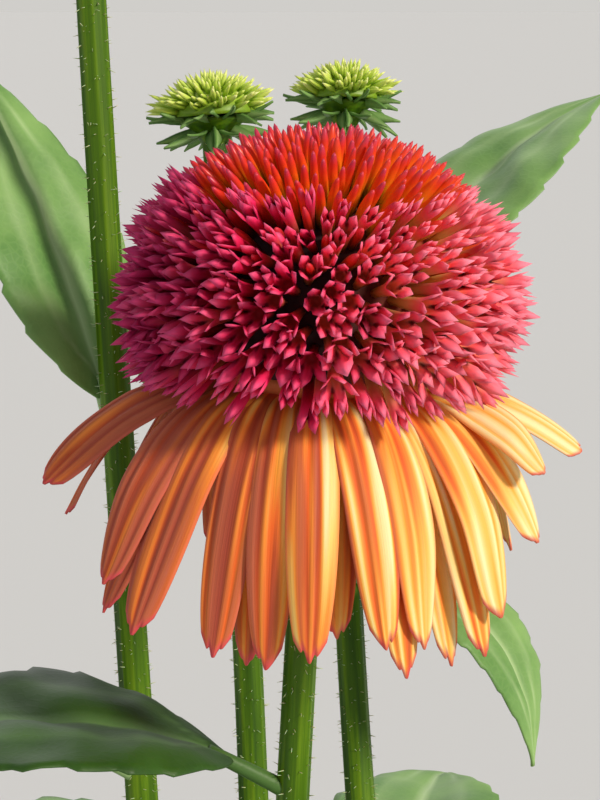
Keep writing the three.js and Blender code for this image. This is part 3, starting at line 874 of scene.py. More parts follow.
def spike_forms():
    profile = [
        (0, -ROOT_DEPTH), (0.55, -ROOT_DEPTH), (0.68, 2.5), (0.7, 5.2), (0.56, 7.4), (0.3, 8.9),
        (0, SPIKE_LENGTH),
    ]
    bends = (-0.006, 0.0, 0.007)
    return [make_piece(f"spike_{i}", turned(profile, 8, bend)) for i, bend in enumerate(bends)]


spikes = grow(
    "bloom_spikes", HEAD_TREE, spike_forms(), SPIKE_WAX, count=250, seed=23,
    from_angle=0.0, to_angle=math.radians(52), unevenness=0.12, wobble=0.06,
    opening=2.0, form_length=SPIKE_LENGTH * MM, **bloom_sizes(),
)
spikes.data.transform(in_metres(bloom_frame))
keep(spikes, "spike_red", "bloom_spike_cap")

scales = grow(
    "bloom_scales", HEAD_TREE, spike_forms(), SCALE_WAX, count=80, seed=47,
    from_angle=math.radians(50), to_angle=math.radians(74), unevenness=0.2, wobble=0.1,
    opening=2.0, form_length=SPIKE_LENGTH * MM, **bloom_sizes(out=-1.6, up=-1),
)
scales.data.transform(in_metres(bloom_frame))
keep(scales, "spike_red")

# %% [markdown]
# ## The skin of a ray
#
# A ray is a long petal. Across the head it runs from brick red in the grooves of its ridges and salmon
# on their crests, on the shaded side, to orange and yellow on the sunny side, in uneven bands: partly
# its own colour and partly painted shade and sunlight. Its crests are lighter than its grooves, which
# partly paints the light and shade of the ridges. Its edges are pinker and the end of its tip is pink.
# Near its root, under the pompon, its colour is pulled towards a dull orange, which is painted shade.
# Fine veins run its whole length, so their pattern follows the petal's own marks: across times its
# breadth, and along times its length.

# %% Ray skin


def ray_finish():
    material, tree, shader = new_finish(
        "ray_petal", 0.55, subsurface_weight=0.1, subsurface_radius=(1.0, 0.4, 0.1),
        subsurface_scale=1 * MM, specular_ior_level=0.2,
    )
    along = add(tree, "ShaderNodeAttribute", attribute_name="along").outputs["Fac"]
    across = add(tree, "ShaderNodeAttribute", attribute_name="across").outputs["Fac"]
    tone = add(tree, "ShaderNodeAttribute", attribute_name="tone").outputs["Fac"]
    ridge = add(tree, "ShaderNodeAttribute", attribute_name="ridge").outputs["Fac"]
    bands = add(tree, "ShaderNodeTexNoise", {"Scale": 1.0, "Detail": 1.0, "Vector": add(
        tree, "ShaderNodeCombineXYZ", {
            "X": add(tree, "ShaderNodeMath", {0: across, 1: 1.7}, operation="MULTIPLY"), "Y": along,
            "Z": add(tree, "ShaderNodeMath", {0: tone, 1: 40.0}, operation="MULTIPLY"),
        },
    )})
    # Partly painted shade and sunlight: the share of the way towards the sunny side, broken by uneven
    # bands.
    sunny = add(tree, "ShaderNodeMath", {
        0: side_share(tree, -30 * MM, 28 * MM),
        1: add(tree, "ShaderNodeMapRange", {
            "Value": bands, "From Min": 0.3, "From Max": 0.7, "To Min": -0.5, "To Max": 0.5,
        }),
    }, operation="ADD", use_clamp=True)
    groove = add(tree, "ShaderNodeValToRGB", {"Fac": sunny}, stops=[
        (0.0, "#AC4C38"), (0.3, "#BC4C28"), (0.55, "#F46C2C"), (0.8, "#FFA43C"), (1.0, "#FFC05C"),
    ])
    crest = add(tree, "ShaderNodeValToRGB", {"Fac": sunny}, stops=[
        (0.0, "#C46848"), (0.3, "#D47038"), (0.55, "#FF9C3C"), (0.8, "#FFD474"), (1.0, "#FFEEB4"),
    ])
    # Crests lighter than grooves: partly the petal's own streaks, partly painted light and shade of the
    # ridges.
    body = add(tree, "ShaderNodeMix", {"Factor": ridge, "A": groove, "B": crest}, data_type="RGBA")
    rim = add(tree, "ShaderNodeMath", {0: across}, operation="ABSOLUTE")
    edge = add(tree, "ShaderNodeMapRange", {
        "Value": rim, "From Min": 0.84, "From Max": 1.0, "To Max": 0.45,
    }, interpolation_type="SMOOTHSTEP")
    edged = add(tree, "ShaderNodeMix", {
        "Factor": edge, "A": body, "B": linear("#EC7C64"),
    }, data_type="RGBA")
    # Painted shade under the pompon: near the root the colour is pulled towards a dull orange.
    root_shade = add(tree, "ShaderNodeMapRange", {
        "Value": along, "From Min": 0.3, "From Max": 0.1, "To Max": 0.5,
    }, interpolation_type="SMOOTHSTEP")
    shaded_at_root = add(tree, "ShaderNodeMix", {
        "Factor": root_shade, "A": edged, "B": linear("#D46428"),
    }, data_type="RGBA")
    tip = add(tree, "ShaderNodeMapRange", {
        "Value": along, "From Min": 0.972, "From Max": 1.0, "To Max": 0.8,
    }, interpolation_type="SMOOTHSTEP")
    tipped = add(tree, "ShaderNodeMix", {
        "Factor": tip, "A": shaded_at_root, "B": linear("#E0505C"),
    }, data_type="RGBA")
    stripes = add(tree, "ShaderNodeCombineXYZ", {
        "X": add(tree, "ShaderNodeMath", {0: across, 1: 9.0}, operation="MULTIPLY"),
        "Y": add(tree, "ShaderNodeMath", {0: along, 1: 1.4}, operation="MULTIPLY"),
        "Z": add(tree, "ShaderNodeMath", {0: tone, 1: 40.0}, operation="MULTIPLY"),
    })
    vein = add(tree, "ShaderNodeTexNoise", {"Vector": stripes, "Scale": 1.6, "Detail": 3.0})
    veined = add(tree, "ShaderNodeMapRange", {"Value": vein, "To Min": 0.88, "To Max": 1.1})
    colour = add(tree, "ShaderNodeHueSaturation", {"Value": veined, "Color": tipped})
    tree.links.new(colour.outputs[0], shader.inputs["Base Color"])
    bump = add(tree, "ShaderNodeBump", {"Strength": 0.35, "Distance": 0.3 * MM, "Height": vein})
    tree.links.new(bump.outputs[0], shader.inputs["Normal"])
    return material


RAY_PETAL = ray_finish()
print(RAY_PETAL.name, "has", len(RAY_PETAL.node_tree.nodes), "nodes")

# %% [markdown]
# ## The skirt of rays
#
# The rays grow from under the pompon, arch over and hang down. No rule places them well, because the
# eye knows a coneflower by its uneven skirt, so they are listed one by one, round from the front: the
# bearing, how far the tip stands from the axis, how far it hangs down, and the breadth. A formula then
# draws each: a curved middle line, two to four soft ridges, edges rolled down, and a slightly notched
# tip. The ridges of no two rays lie alike, because even stripes look like cloth.

# %% The list of rays
RAYS = [
    (-2, 1, 36, 43.6, 7.4, 0), (5, 9, 28, 42.8, 6.4, 0), (11, 19, 34.5, 42.4, 6.8, 0),
    (21, 25, 33, 47.2, 6.4, 4), (30, 29, 35, 42.7, 7, 0), (33, 44, 30, 48.1, 6.2, 6),
    (43, 49, 34, 46.2, 6.8, 4), (55, 50, 37, 39.7, 8.4, 10), (66, 62, 37, 30.5, 7.6, 16),
    (77, 62, 37.5, 19.5, 7.6, 22), (90, 90, 40.5, 21, 7, 28), (108, 109, 35, 40, 8.2, 0),
    (127, 130, 32, 45, 8.4, 6), (147, 145, 36, 43, 8.6, -6), (167, 169, 31, 46, 8.4, 5),
    (187, 185, 35.5, 44, 8.6, 0), (207, 210, 31.5, 46, 8.4, 0), (228, 226, 36.5, 42.5, 8.6, -6),
    (249, 252, 33, 44, 8.4, 4), (270, 268, 37, 35, 8, 0), (290, 282, 40, 28, 7.8, -28),
    (306, 309, 37.5, 37.8, 7.6, -16), (314, 300, 33, 44.5, 6.6, -8), (321, 319, 36, 43.9, 8, -10),
    (333, 338, 33.5, 45.2, 7, -4), (335, 344, 29, 47.3, 5.6, 0), (344, 351, 34.5, 45.6, 7, 0),
]
RAY = {"root_radius": 12.5, "shoulder_radius": 21.5, "shoulder_spread": 0.3, "shoulder_drop": 12.5,
       "ridge": 0.26, "roof": 0.5, "curl": 1.5, "wave": 0.25, "thickness": 0.4, "rows": 40, "columns": 24}
print(len(RAYS), "rays")


# %% [markdown]
# A few small formulas shape every ray: how broad it is along its length, where each of its lines ends,
# and how its surface rises and falls across it.

# %% The outline and ridges of a ray


def heading(compass, rise):
    """The direction at a compass angle from +X towards +Y and a rise above the level, in degrees."""
    flat = math.cos(math.radians(rise))
    turned_by = math.radians(compass)
    return Vector((math.cos(turned_by) * flat, math.sin(turned_by) * flat, math.sin(math.radians(rise))))


def ray_breadth(share, pointed):
    """How broad a ray is along its length: broadest past the middle, and rounded or pointed at the tip."""
    broadest = 0.6
    opening = 0.5 + 0.5 * math.sin(min(1.0, share / broadest) * math.pi / 2)
    closing = math.sqrt(1 - pointed * max(0.0, (share - broadest) / (1 - broadest)) ** 2.6)
    return opening * closing


def ray_end(across, teeth):
    """Where a line of the ray ends, as a share of its length: rounded, with a notch each side."""
    notches = sum(depth * math.exp(-((across - place) / 0.16) ** 2) for place, depth in teeth)
    return 1 - 0.045 * abs(across) ** 2.2 - notches


def ray_ridge(across, ribs, slip):
    """Soft ridges with grooves between, from 0 in a groove to 1 on a crest. No two rays have them alike."""
    return 0.5 + 0.5 * math.cos((across + slip + 0.12 * math.sin(5 * across + 9 * slip)) * ribs * math.pi)


print("a ray with a pointed tip ends at", round(ray_breadth(1.0, 0.97), 2), "of its breadth")


# %% [markdown]
# One ray is a blade along its own curve. Chance gives it its notches, curl, waves, tone and ridges, and
# the list gives it everything that the eye would notice.

# %% The rays


def ray_part(root_bearing, tip_bearing, tip_radius, tip_drop, breadth, twist, chance):
    turn_back = (tip_bearing - root_bearing + 180) % 360 - 180
    spread = RAY["shoulder_spread"] * (tip_radius - RAY["shoulder_radius"])

    def at(share, radius, drop):
        return heading(root_bearing + turn_back * share - 90, 0) * radius - Vector((0, 0, drop))

    handles = [
        at(0, RAY["root_radius"], BLOOM["core_foot"] + GAP + BLOOM["hub_height"] / 2),
        at(0.4, RAY["shoulder_radius"] + spread, RAY["shoulder_drop"] - spread * 0.25),
        at(1, tip_radius, tip_drop),
    ]
    level = heading(root_bearing + turn_back / 2, 0)
    teeth = [(place + chance.uniform(-0.08, 0.08), chance.uniform(0.0, 0.02)) for place in (-0.4, 0.4)]
    wave = chance.uniform(0, math.tau)
    curl = chance.uniform(-0.5, 1.0)
    tone = chance.random()
    pointed = chance.uniform(0.82, 0.97)
    ribs = chance.uniform(2.6, 3.7)
    slip = chance.uniform(-0.3, 0.3)

    def place(along, across):
        share = along * ray_end(across, teeth)
        half = breadth / 2 * ray_breadth(share, pointed)
        way = curve_way(handles, share)
        twisting = math.radians(twist) * min(1.0, 2 * share)
        side = Matrix.Rotation(twisting, 3, way) @ level
        normal = way.cross(side).normalized()
        relief = RAY["ridge"] * (ray_ridge(across, ribs, slip) - 0.5) * smooth_step(0.02, 0.25, share)
        relief *= 1 - 0.7 * smooth_step(0.88, 1.0, share)
        roof = -RAY["roof"] * across * across * (breadth / 7.4)
        curling = -curl * RAY["curl"] * smooth_step(0.7, 1.0, share)
        waving = RAY["wave"] * math.sin(wave + share * 9) * across
        point = curve_point(handles, share) + side * (across * half)
        return point + normal * (relief + roof + curling + waving), normal

    def thickness(along, across):
        return RAY["thickness"] * (1 - 0.6 * abs(across) ** 3)

    points, faces, marks = sheet(RAY["rows"], RAY["columns"], place, thickness)
    marks["ridge"] = [ray_ridge(across, ribs, slip) for across in marks["across"]]
    marks["tone"] = [tone] * len(points)
    return points, faces, marks


def ray_skirt():
    chance = random.Random(8)
    return gather([ray_part(*ray, chance) for ray in RAYS])


rays = make_piece("bloom_rays", moved(ray_skirt(), bloom_frame), RAY_PETAL)
keep(rays, "ray_orange", "bloom_ray_skirt")

# %% [markdown]
# ## Green skins
#
# Stems, bracts and leaves are living green, but not the same green. A stem is streaked along its length,
# a leaf has pale veins and a paler underside, and a bract is darker. The leaves under the bloom are
# given a much darker green, which is painted shade from the bloom above them, so the same function makes
# them a second skin. The leaf's veins are drawn where its own marks say: one down the middle and one each
# side of it, which bow out and meet again at the tip, with a fine net between.

# %% Leaf and bract skins


def leaf_finish(name, dark, light, vein_colour, under_colour):
    material, tree, shader = new_finish(
        name, 0.5, subsurface_weight=0.06, subsurface_radius=(0.3, 0.6, 0.1), subsurface_scale=1 * MM,
        specular_ior_level=0.35,
    )
    along = add(tree, "ShaderNodeAttribute", attribute_name="along").outputs["Fac"]
    vein = add(tree, "ShaderNodeAttribute", attribute_name="vein").outputs["Fac"]
    under = add(tree, "ShaderNodeAttribute", attribute_name="under").outputs["Fac"]
    place = add(tree, "ShaderNodeTexCoord").outputs["Object"]
    patches = add(tree, "ShaderNodeTexNoise", {"Vector": place, "Scale": 1 / (18 * MM), "Detail": 4.0})
    mottled = add(tree, "ShaderNodeMapRange", {"Value": patches, "From Min": 0.3, "From Max": 0.7})
    green = add(tree, "ShaderNodeMix", {
        "Factor": mottled, "A": linear(dark), "B": linear(light),
    }, data_type="RGBA")
    net = add(tree, "ShaderNodeTexVoronoi", {
        "Vector": place, "Scale": 1 / (1.5 * MM), "Randomness": 1.0,
    }, feature="DISTANCE_TO_EDGE")
    mesh_line = add(tree, "ShaderNodeMapRange", {
        "Value": net, "From Min": 0.0, "From Max": 0.2, "To Min": 0.14, "To Max": 0.0,
    })
    netted = add(tree, "ShaderNodeMix", {
        "Factor": mesh_line, "A": green, "B": linear(light),
    }, data_type="RGBA")
    veined = add(tree, "ShaderNodeMix", {
        "Factor": vein, "A": netted, "B": linear(vein_colour),
    }, data_type="RGBA")
    turned_over = add(tree, "ShaderNodeMix", {
        "Factor": add(tree, "ShaderNodeMath", {0: under, 1: 0.7}, operation="MULTIPLY"),
        "A": veined, "B": linear(under_colour),
    }, data_type="RGBA")
    tree.links.new(turned_over.outputs[2], shader.inputs["Base Color"])
    raised = add(tree, "ShaderNodeMath", {0: mesh_line, 1: patches}, operation="ADD")
    bump = add(tree, "ShaderNodeBump", {"Strength": 0.35, "Distance": 0.3 * MM, "Height": raised})
    tree.links.new(bump.outputs[0], shader.inputs["Normal"])
    return material


LEAF_SKIN = leaf_finish("leaf_blade", "#5C8A44", "#8CB468", "#B0CC94", "#9CBC88")
# Painted shade: this much darker green is for the leaves that lie under the bloom.
PAINTED_SHADE_LEAF_SKIN = leaf_finish("leaf_blade_painted_shade", "#1A3C08", "#345C14", "#5C8440", "#4C7038")
BRACT_SKIN = leaf_finish("bract_blade", "#3C6828", "#648E44", "#8CAC68", "#7CA45C")
print("leaf skins:", LEAF_SKIN.name, PAINTED_SHADE_LEAF_SKIN.name, BRACT_SKIN.name)

# %% [markdown]
# A stem is smooth between fine streaks that run its whole length, and carries short pale bristles. The
# streaks are noise read on a circle round the stem and stretched along it, so they have no seam.

# %% Stem skin and bristles


def stem_finish():
    material, tree, shader = new_finish(
        "stem_skin", 0.5, subsurface_weight=0.1, subsurface_radius=(0.3, 0.7, 0.1), subsurface_scale=2 * MM,
        specular_ior_level=0.25,
    )
    around = add(tree, "ShaderNodeAttribute", attribute_name="around").outputs["Fac"]
    along = add(tree, "ShaderNodeAttribute", attribute_name="along").outputs["Fac"]
    circle = add(tree, "ShaderNodeMath", {0: around, 1: math.tau}, operation="MULTIPLY")
    streak_place = add(tree, "ShaderNodeCombineXYZ", {
        "X": add(tree, "ShaderNodeMath", {0: circle}, operation="COSINE"),
        "Y": add(tree, "ShaderNodeMath", {0: circle}, operation="SINE"),
        "Z": add(tree, "ShaderNodeMath", {0: along, 1: 3.0}, operation="MULTIPLY"),
    })
    streaks = add(tree, "ShaderNodeTexNoise", {"Vector": streak_place, "Scale": 2.6, "Detail": 5.0})
    colour = add(tree, "ShaderNodeValToRGB", {"Fac": streaks}, stops=[
        (0.3, "#305400"), (0.5, "#4A7000"), (0.7, "#6E9010"),
    ])
    tree.links.new(colour.outputs[0], shader.inputs["Base Color"])
    bump = add(tree, "ShaderNodeBump", {"Strength": 0.4, "Distance": 0.3 * MM, "Height": streaks})
    tree.links.new(bump.outputs[0], shader.inputs["Normal"])
    return material


STEM_SKIN = stem_finish()


def bristle_finish():
    material, tree, shader = new_finish("bristle", 0.4, subsurface_weight=0.3, subsurface_scale=0.5 * MM)
    shader.inputs["Base Color"].default_value = linear("#C9D8A8")
    return material


BRISTLE = bristle_finish()
print("stem skins:", STEM_SKIN.name, BRISTLE.name)

# %% [markdown]
# ## Stems and their leaves
#
# A stem is a tube along a smooth curve that starts upright in the compost and enters its head along
# the head's axis. Its leaves are toothed blades, folded up a little along the midrib. The blade is one
# formula, as the ray is: a middle line that bends down, an outline, teeth, a fold, and sunk veins.

# %% Leaf blades
SOIL_TOP = 132
HOLE_DEPTH = 20
STEM_RADII = (3.2, 2.4)
STALK = {"foot": 2.0, "top": 1.3, "short": 1.2, "short_share": 0.14}
LEAF = {"rows": 54, "columns": 20, "thickness": 0.6, "fold": 0.34, "arch": 0.3, "teeth": 9,
        "tooth_depth": 0.09, "wave": 0.06, "vein_depth": 0.35, "vein_swell": 0.7}


def midrib(root, compass, rise, bend, length):
    shoulder = root + heading(compass, rise) * (length / 2)
    return [root, shoulder, shoulder + heading(compass, rise - bend) * (length / 2)]


def leaf_outline(share):
    """How broad a leaf is along its length: 1 at its broadest."""
    root_power, tip_power = 0.8, 1.15
    broadest = root_power / (root_power + tip_power)
    at_broadest = broadest ** root_power * (1 - broadest) ** tip_power
    return share ** root_power * (1 - share) ** tip_power / at_broadest


def leaf_vein(along, across):
    """How much of a point is vein, from 0 to 1: the midrib and two side veins."""
    midrib_line = math.exp(-(across / mix(0.09, 0.05, along)) ** 2)
    bow = 0.46 * smooth_step(0.0, 0.18, along) * (1 - 0.35 * smooth_step(0.6, 1.0, along))
    side_line = math.exp(-((abs(across) - bow) / 0.05) ** 2)
    return min(1.0, midrib_line + 0.6 * side_line)


def leaf_blade(handles, compass, breadth, chance, rows=LEAF["rows"], columns=LEAF["columns"]):
    side = heading(compass + 90, 0)
    phase, pucker = chance.random(), chance.uniform(0, 50)
    narrowest = 0.5

    def place(along, across):
        tooth = (along * LEAF["teeth"] + phase) % 1.0
        tooth_size = LEAF["tooth_depth"] * (tooth - 0.5) * abs(across) ** 5
        half = max(narrowest, breadth / 2 * leaf_outline(along) * (1 + tooth_size))
        way = curve_way(handles, along)
        normal = way.cross(side).normalized()
        cup = (LEAF["fold"] * abs(across) - LEAF["arch"] * across * across) * half
        where = Vector((along * 9 + pucker, across * 2.2, 0))
        waves = noise.noise(where) * LEAF["wave"] * half
        sunk = -LEAF["vein_depth"] * leaf_vein(along, across) * min(1.0, half / 6)
        point = curve_point(handles, along) + side * (across * half)
        return point + normal * (cup + waves + sunk), normal

    def thickness(along, across):
        swell = LEAF["vein_swell"] * leaf_vein(along, across) * (1 - along)
        return LEAF["thickness"] * (1 - 0.5 * abs(across) ** 4) + swell

    points, faces, marks = sheet(rows, columns, place, thickness)
    marks["vein"] = [leaf_vein(*at) for at in zip(marks["along"], marks["across"])]
    return points, faces, marks


def leaf_stalk(handles, radii, sides, rings):
    """The stalk of a leaf, marked all vein so that it takes the colour of the midrib."""
    points, faces, marks = tube(handles, lambda share, angle: mix(*radii, share), sides, rings)
    flat = [0.0] * len(points)
    return points, faces, {"along": flat, "across": flat, "under": flat, "vein": [0.55] * len(points)}


def stem_leaf(stem, leaf, chance):
    """A leaf on a stem: a short stalk and the blade."""
    place, compass, rise, bend, length, breadth = leaf
    share = STALK["short_share"]
    root = curve_point(stem, share_at_length(stem, place))
    whole = midrib(root, compass, rise, bend, length)
    blade = midrib(
        curve_point(whole, share), compass, rise - bend * share, bend * (1 - share), length * (1 - share),
    )
    stalk = [root, whole[0].lerp(curve_point(whole, share), 0.5), curve_point(whole, share * 1.4)]
    return [
        leaf_stalk(stalk, (STALK["short"] * 1.25, STALK["short"] * 0.9), 12, 6),
        leaf_blade(blade, compass, breadth, chance),
    ]


print("a leaf has", LEAF["teeth"], "teeth on each side")


# %% [markdown]
# Four stems are listed with their leaves, as the solids have them: the foot in the compost, the head's
# place and lean, and for each leaf its place along the stem, compass angle, rise, bend, length and
# breadth. Bristles are scattered over the tube: the stem of a coneflower is rough to touch.

# %% The list of stems
STEMS = {
    "main": {
        "foot": (-9, -20), "leaves": [
            (0.74, 196, 38, 62, 86, 42), (0.6, 338, 30, 55, 84, 32), (0.44, 262, 34, 70, 92, 36),
            (0.3, 165, 30, 66, 84, 34),
        ],
    },
    "left": {
        "foot": (-10, 18), "head": (-18.5, 37, 393), "lean": (-4, 5), "radius": 8,
        "leaves": [(0.76, 112, 48, 38, 70, 25), (0.48, 176, 30, 58, 88, 34)],
    },
    "right": {
        "foot": (16, 6), "head": (5.5, 54, 395), "lean": (2, 8), "radius": 7,
        "leaves": [(0.82, 38, 56, 40, 92, 36), (0.69, 326, 14, 102, 70, 21), (0.42, 76, 36, 60, 92, 36)],
    },
    "tall": {
        "foot": (-27, 2), "head": (-39, 17, 446), "lean": (-2, 2), "radius": 8.4,
        "leaves": [(0.67, 138, 72, 22, 80, 30), (0.5, 212, 40, 60, 92, 34), (0.3, 98, 34, 62, 96, 38)],
    },
}

print(len(STEMS), "stems")


def stem_handles(foot, head, axis):
    handle = 0.4
    start = Vector((*foot, SOIL_TOP - HOLE_DEPTH))
    rise = head.z - start.z
    return [start, start + Vector((0, 0, rise * handle)), head - axis * (rise * handle), head]


def stem_radius(share, angle):
    ridges = 1 + 0.035 * math.cos(9 * angle)
    return mix(*STEM_RADII, share) * ridges


def bract_forms(length, breadth):
    """Narrow pointed bracts along Z, curved outwards, for the ring under a head."""
    chance = random.Random(3)
    forms = []
    for i in range(3):
        bow = chance.uniform(0.1, 0.3) * length
        handles = [Vector((0, 0, -1)), Vector((0, 0, length * 0.5)), Vector((0, -bow, length))]

        def place(along, across, handles=handles):
            half = max(0.12, breadth / 2 * leaf_outline(0.12 + 0.88 * along))
            normal = curve_way(handles, along).cross(Vector((1, 0, 0))).normalized()
            lift = 0.25 * abs(across) * half
            return curve_point(handles, along) + Vector((across * half, 0, 0)) + normal * lift, normal

        part = sheet(6, 2, place, lambda along, across: 0.45)
        part[2]["vein"] = [1 - abs(across) for across in part[2]["across"]]
        forms.append(make_piece(f"bract_{i}", part))
    return forms


def bristle_forms():
    return [make_piece("bristle_form", turned([(0, -0.2), (0.09, -0.2), (0.05, 0.6), (0, 1)], 4))]


def neck_part(frame_matrix, radius, height, top):
    """The green cup that widens from the stem to the foot of a head."""
    foot = STEM_RADII[1] * 0.95
    profile = [(0, top - height - 2), (foot, top - height - 2), (foot, top - height), (
        mix(foot, radius, 0.28), top - height * 0.62), (radius * 0.72, top - height * 0.34),
        (radius * 0.95, top - 0.8), (radius, top - 0.1), (0, top)]
    points, faces, marks = turned(profile, 32)
    around = [math.atan2(point[1], point[0]) / math.tau % 1.0 for point in points]
    return moved((points, faces, {"along": marks["along"], "around": around}), frame_matrix)


# %% [markdown]
# One function grows a whole stem, because all four are made the same way: tube and neck, bristles,
# leaves, and two rings of bracts under the head.

# %% Growing the stems


def grow_stem(name, frame_matrix, axis, neck, rings_of_bracts):
    """One leafy stem: its tube and neck, its bristles, its leaves and its bracts."""
    spec = STEMS[name]
    radius, height, top = neck
    head = frame_matrix @ Vector((0, 0, top - 1))
    handles = stem_handles(spec["foot"], head, axis)
    parts = [tube(handles, stem_radius, 36, 80), neck_part(frame_matrix, radius, height, top)]
    stalk = make_piece(f"{name}_stem", gather(parts), STEM_SKIN)
    keep(stalk, "leaf_green", f"stem_{name}")
    ground = make_piece(f"{name}_ground", tube(handles, stem_radius, 12, 40))
    bristles = grow(
        f"{name}_bristles", SCATTER_TREE, bristle_forms(), BRISTLE, ground,
        per_square_metre=3.2e5, smallest=0.5, largest=1.3, wobble=0.5, seed=len(name) + 60,
    )
    bpy.data.objects.remove(ground)
    keep(bristles, "leaf_green")
    chance = random.Random(len(name) * 7)
    leaves = gather([part for leaf in spec["leaves"] for part in stem_leaf(handles, leaf, chance)])
    # The main stem's leaves, under the bloom, take the skin with painted shade.
    leaf_skin = PAINTED_SHADE_LEAF_SKIN if name == "main" else LEAF_SKIN
    keep(make_piece(f"{name}_leaves", leaves, leaf_skin), "leaf_green")
    for number, (count, length, breadth, polar, level) in enumerate(rings_of_bracts):
        ring = grow(
            f"{name}_bracts_{number + 1}", HEAD_TREE, bract_forms(length, breadth), BRACT_SKIN, seed=number,
            count=count, from_angle=math.radians(polar - 4), to_angle=math.radians(polar + 4),
            unevenness=0.25, wobble=0.1, opening=2.0, form_length=length * MM,
            core_radius=radius * 0.6 * MM, core_height=radius * 0.6 * MM,
            tip_radius=(radius * 0.6 + length) * MM, tip_height=(radius * 0.6 + length) * MM,
        )
        ring.data.transform(in_metres(frame_matrix @ Matrix.Translation((0, 0, level))))
        keep(ring, "leaf_green")


neck_top = -BLOOM["core_foot"] - BLOOM["hub_height"] - 2 * GAP
grow_stem(
    "main", bloom_frame, bloom_axis, (BLOOM["neck_radius"], BLOOM["neck_height"], neck_top),
    [(16, 13, 2.8, 105, neck_top - 2.5), (14, 10, 2.4, 120, neck_top - 4)],
)

# %% [markdown]
# The rays grow from a thick disc on top of the neck, dull orange like the feet of the rays, whose
# colour there is painted shade. It hardly shows, but without it light would leak through the middle of the
# head.

# %% The disc that the rays grow from
disc_finish, _, disc_shader = new_finish("ray_foot", 0.7)
disc_shader.inputs["Base Color"].default_value = linear("#C86430")
disc_top = -BLOOM["core_foot"] - GAP
disc_foot = disc_top - BLOOM["hub_height"]
disc = make_piece("bloom_disc", moved(turned([
    (0, disc_foot), (BLOOM["neck_radius"] + 1, disc_foot), (BLOOM["hub_radius"] - 1.5, disc_top - 3),
    (BLOOM["hub_radius"], disc_top - 1.2), (BLOOM["hub_radius"] - 0.4, disc_top), (0, disc_top),
], 40), bloom_frame), disc_finish)
keep(disc, "ray_orange")

# %% [markdown]
# ## Young heads
#
# A young head is a flat dome packed with soft yellow-green thorns, with the first rays standing up
# round its rim like a fringe. The same tree grows both from a thorn form, and the rim's band is
# steeper. Their skin is paler at the tips and greener at the roots.

# %% Young heads
BUD = {"dome": 0.62, "spike_length": 3.6, "ray_length": 5.0, "neck_height": 5}


def bud_finish():
    material, tree, shader = new_finish(
        "bud_skin", 0.45, subsurface_weight=0.2, subsurface_radius=(0.6, 0.7, 0.1),
        subsurface_scale=1.5 * MM,
    )
    along = add(tree, "ShaderNodeAttribute", attribute_name="along").outputs["Fac"]
    tone = add(tree, "ShaderNodeAttribute", attribute_name="tone").outputs["Fac"]
    shift = add(tree, "ShaderNodeMapRange", {"Value": tone, "To Min": -0.15, "To Max": 0.15})
    place = add(tree, "ShaderNodeMath", {0: along, 1: shift}, operation="ADD")
    colour = add(tree, "ShaderNodeValToRGB", {"Fac": place}, stops=[
        (0.1, "#7CA020"), (0.45, "#B8D448"), (0.8, "#D8E874"), (1.0, "#ECF49C"),
    ])
    tree.links.new(colour.outputs[0], shader.inputs["Base Color"])
    return material


BUD_SKIN = bud_finish()


def thorn_forms(length, radius):
    profile = [
        (0, -1), (radius, -1), (radius * 0.85, length * 0.4), (radius * 0.5, length * 0.75), (0, length),
    ]
    bends = (-0.02, 0.0, 0.03)
    return [make_piece(f"thorn_{i}", turned(profile, 6, bend)) for i, bend in enumerate(bends)]


for number, name in enumerate(("left", "right", "tall")):
    spec = STEMS[name]
    frame_matrix, axis = head_frame(spec["head"], spec["lean"])
    radius, height = spec["radius"], spec["radius"] * BUD["dome"]
    grow_stem(
        name, frame_matrix, axis, (radius * 0.8, BUD["neck_height"], -GAP),
        [(20, 9, 1.9, 90, -GAP), (16, 8, 1.9, 110, -GAP - 1.2)],
    )
    dome_part = turned(dome(radius, height, 0.0, 8), 32)
    core_piece = make_piece(f"bud_core_{name}", moved(dome_part, frame_matrix), BUD_SKIN)
    keep(core_piece, "bud_green", f"bud_{name}")
    for label, count, band, length, thick, wobble in (
        ("thorns", 150, (0, 80), BUD["spike_length"], 0.5, 0.12),
        ("fringe", 34, (68, 84), BUD["ray_length"], 0.6, 0.16),
    ):
        thorns = grow(
            f"bud_{label}_{name}", HEAD_TREE, thorn_forms(length, thick), BUD_SKIN, count=count,
            seed=31 + number, from_angle=math.radians(band[0]), to_angle=math.radians(band[1]),
            unevenness=0.3, wobble=wobble, opening=2.0, form_length=length * MM,
            core_radius=radius * MM, core_height=height * MM,
            tip_radius=(radius + length) * MM, tip_height=(height + length) * MM,
        )
        thorns.data.transform(in_metres(frame_matrix))
        keep(thorns, "bud_green")

# %% [markdown]
# ## Leaves from the compost
#
# The lowest leaves stand on long stalks of their own. The stalk leaves the compost upright and passes
# into the midrib without a corner, so its curve ends along the blade's first direction.

# %% Leaves on long stalks
BASAL_LEAVES = [
    (-30, -18, 218, 72, 44, 74, 112, 46), (-2, -38, 284, 62, 36, 80, 104, 44),
    (26, -22, 322, 78, 46, 72, 116, 46), (33, 4, 6, 66, 40, 76, 108, 44),
    (22, 30, 52, 74, 46, 72, 110, 46), (-18, 38, 122, 70, 42, 76, 112, 46),
]


def basal_leaf(x, y, compass, stalk_length, rise, bend, length, breadth, chance):
    out = heading(compass, rise)
    top = Vector((x, y, SOIL_TOP)) + heading(compass, (90 + rise) / 2) * stalk_length
    start = Vector((x, y, SOIL_TOP - HOLE_DEPTH))
    pull = stalk_length * 0.4
    stalk = [start, start + Vector((0, 0, HOLE_DEPTH + pull)), top - out * pull, top]
    blade = midrib(top - out * (2 * STALK["top"]), compass, rise, bend, length)
    return gather([
        leaf_stalk(stalk, (STALK["foot"], STALK["top"]), 16, 24),
        leaf_blade(blade, compass, breadth, chance, rows=64, columns=24),
    ])


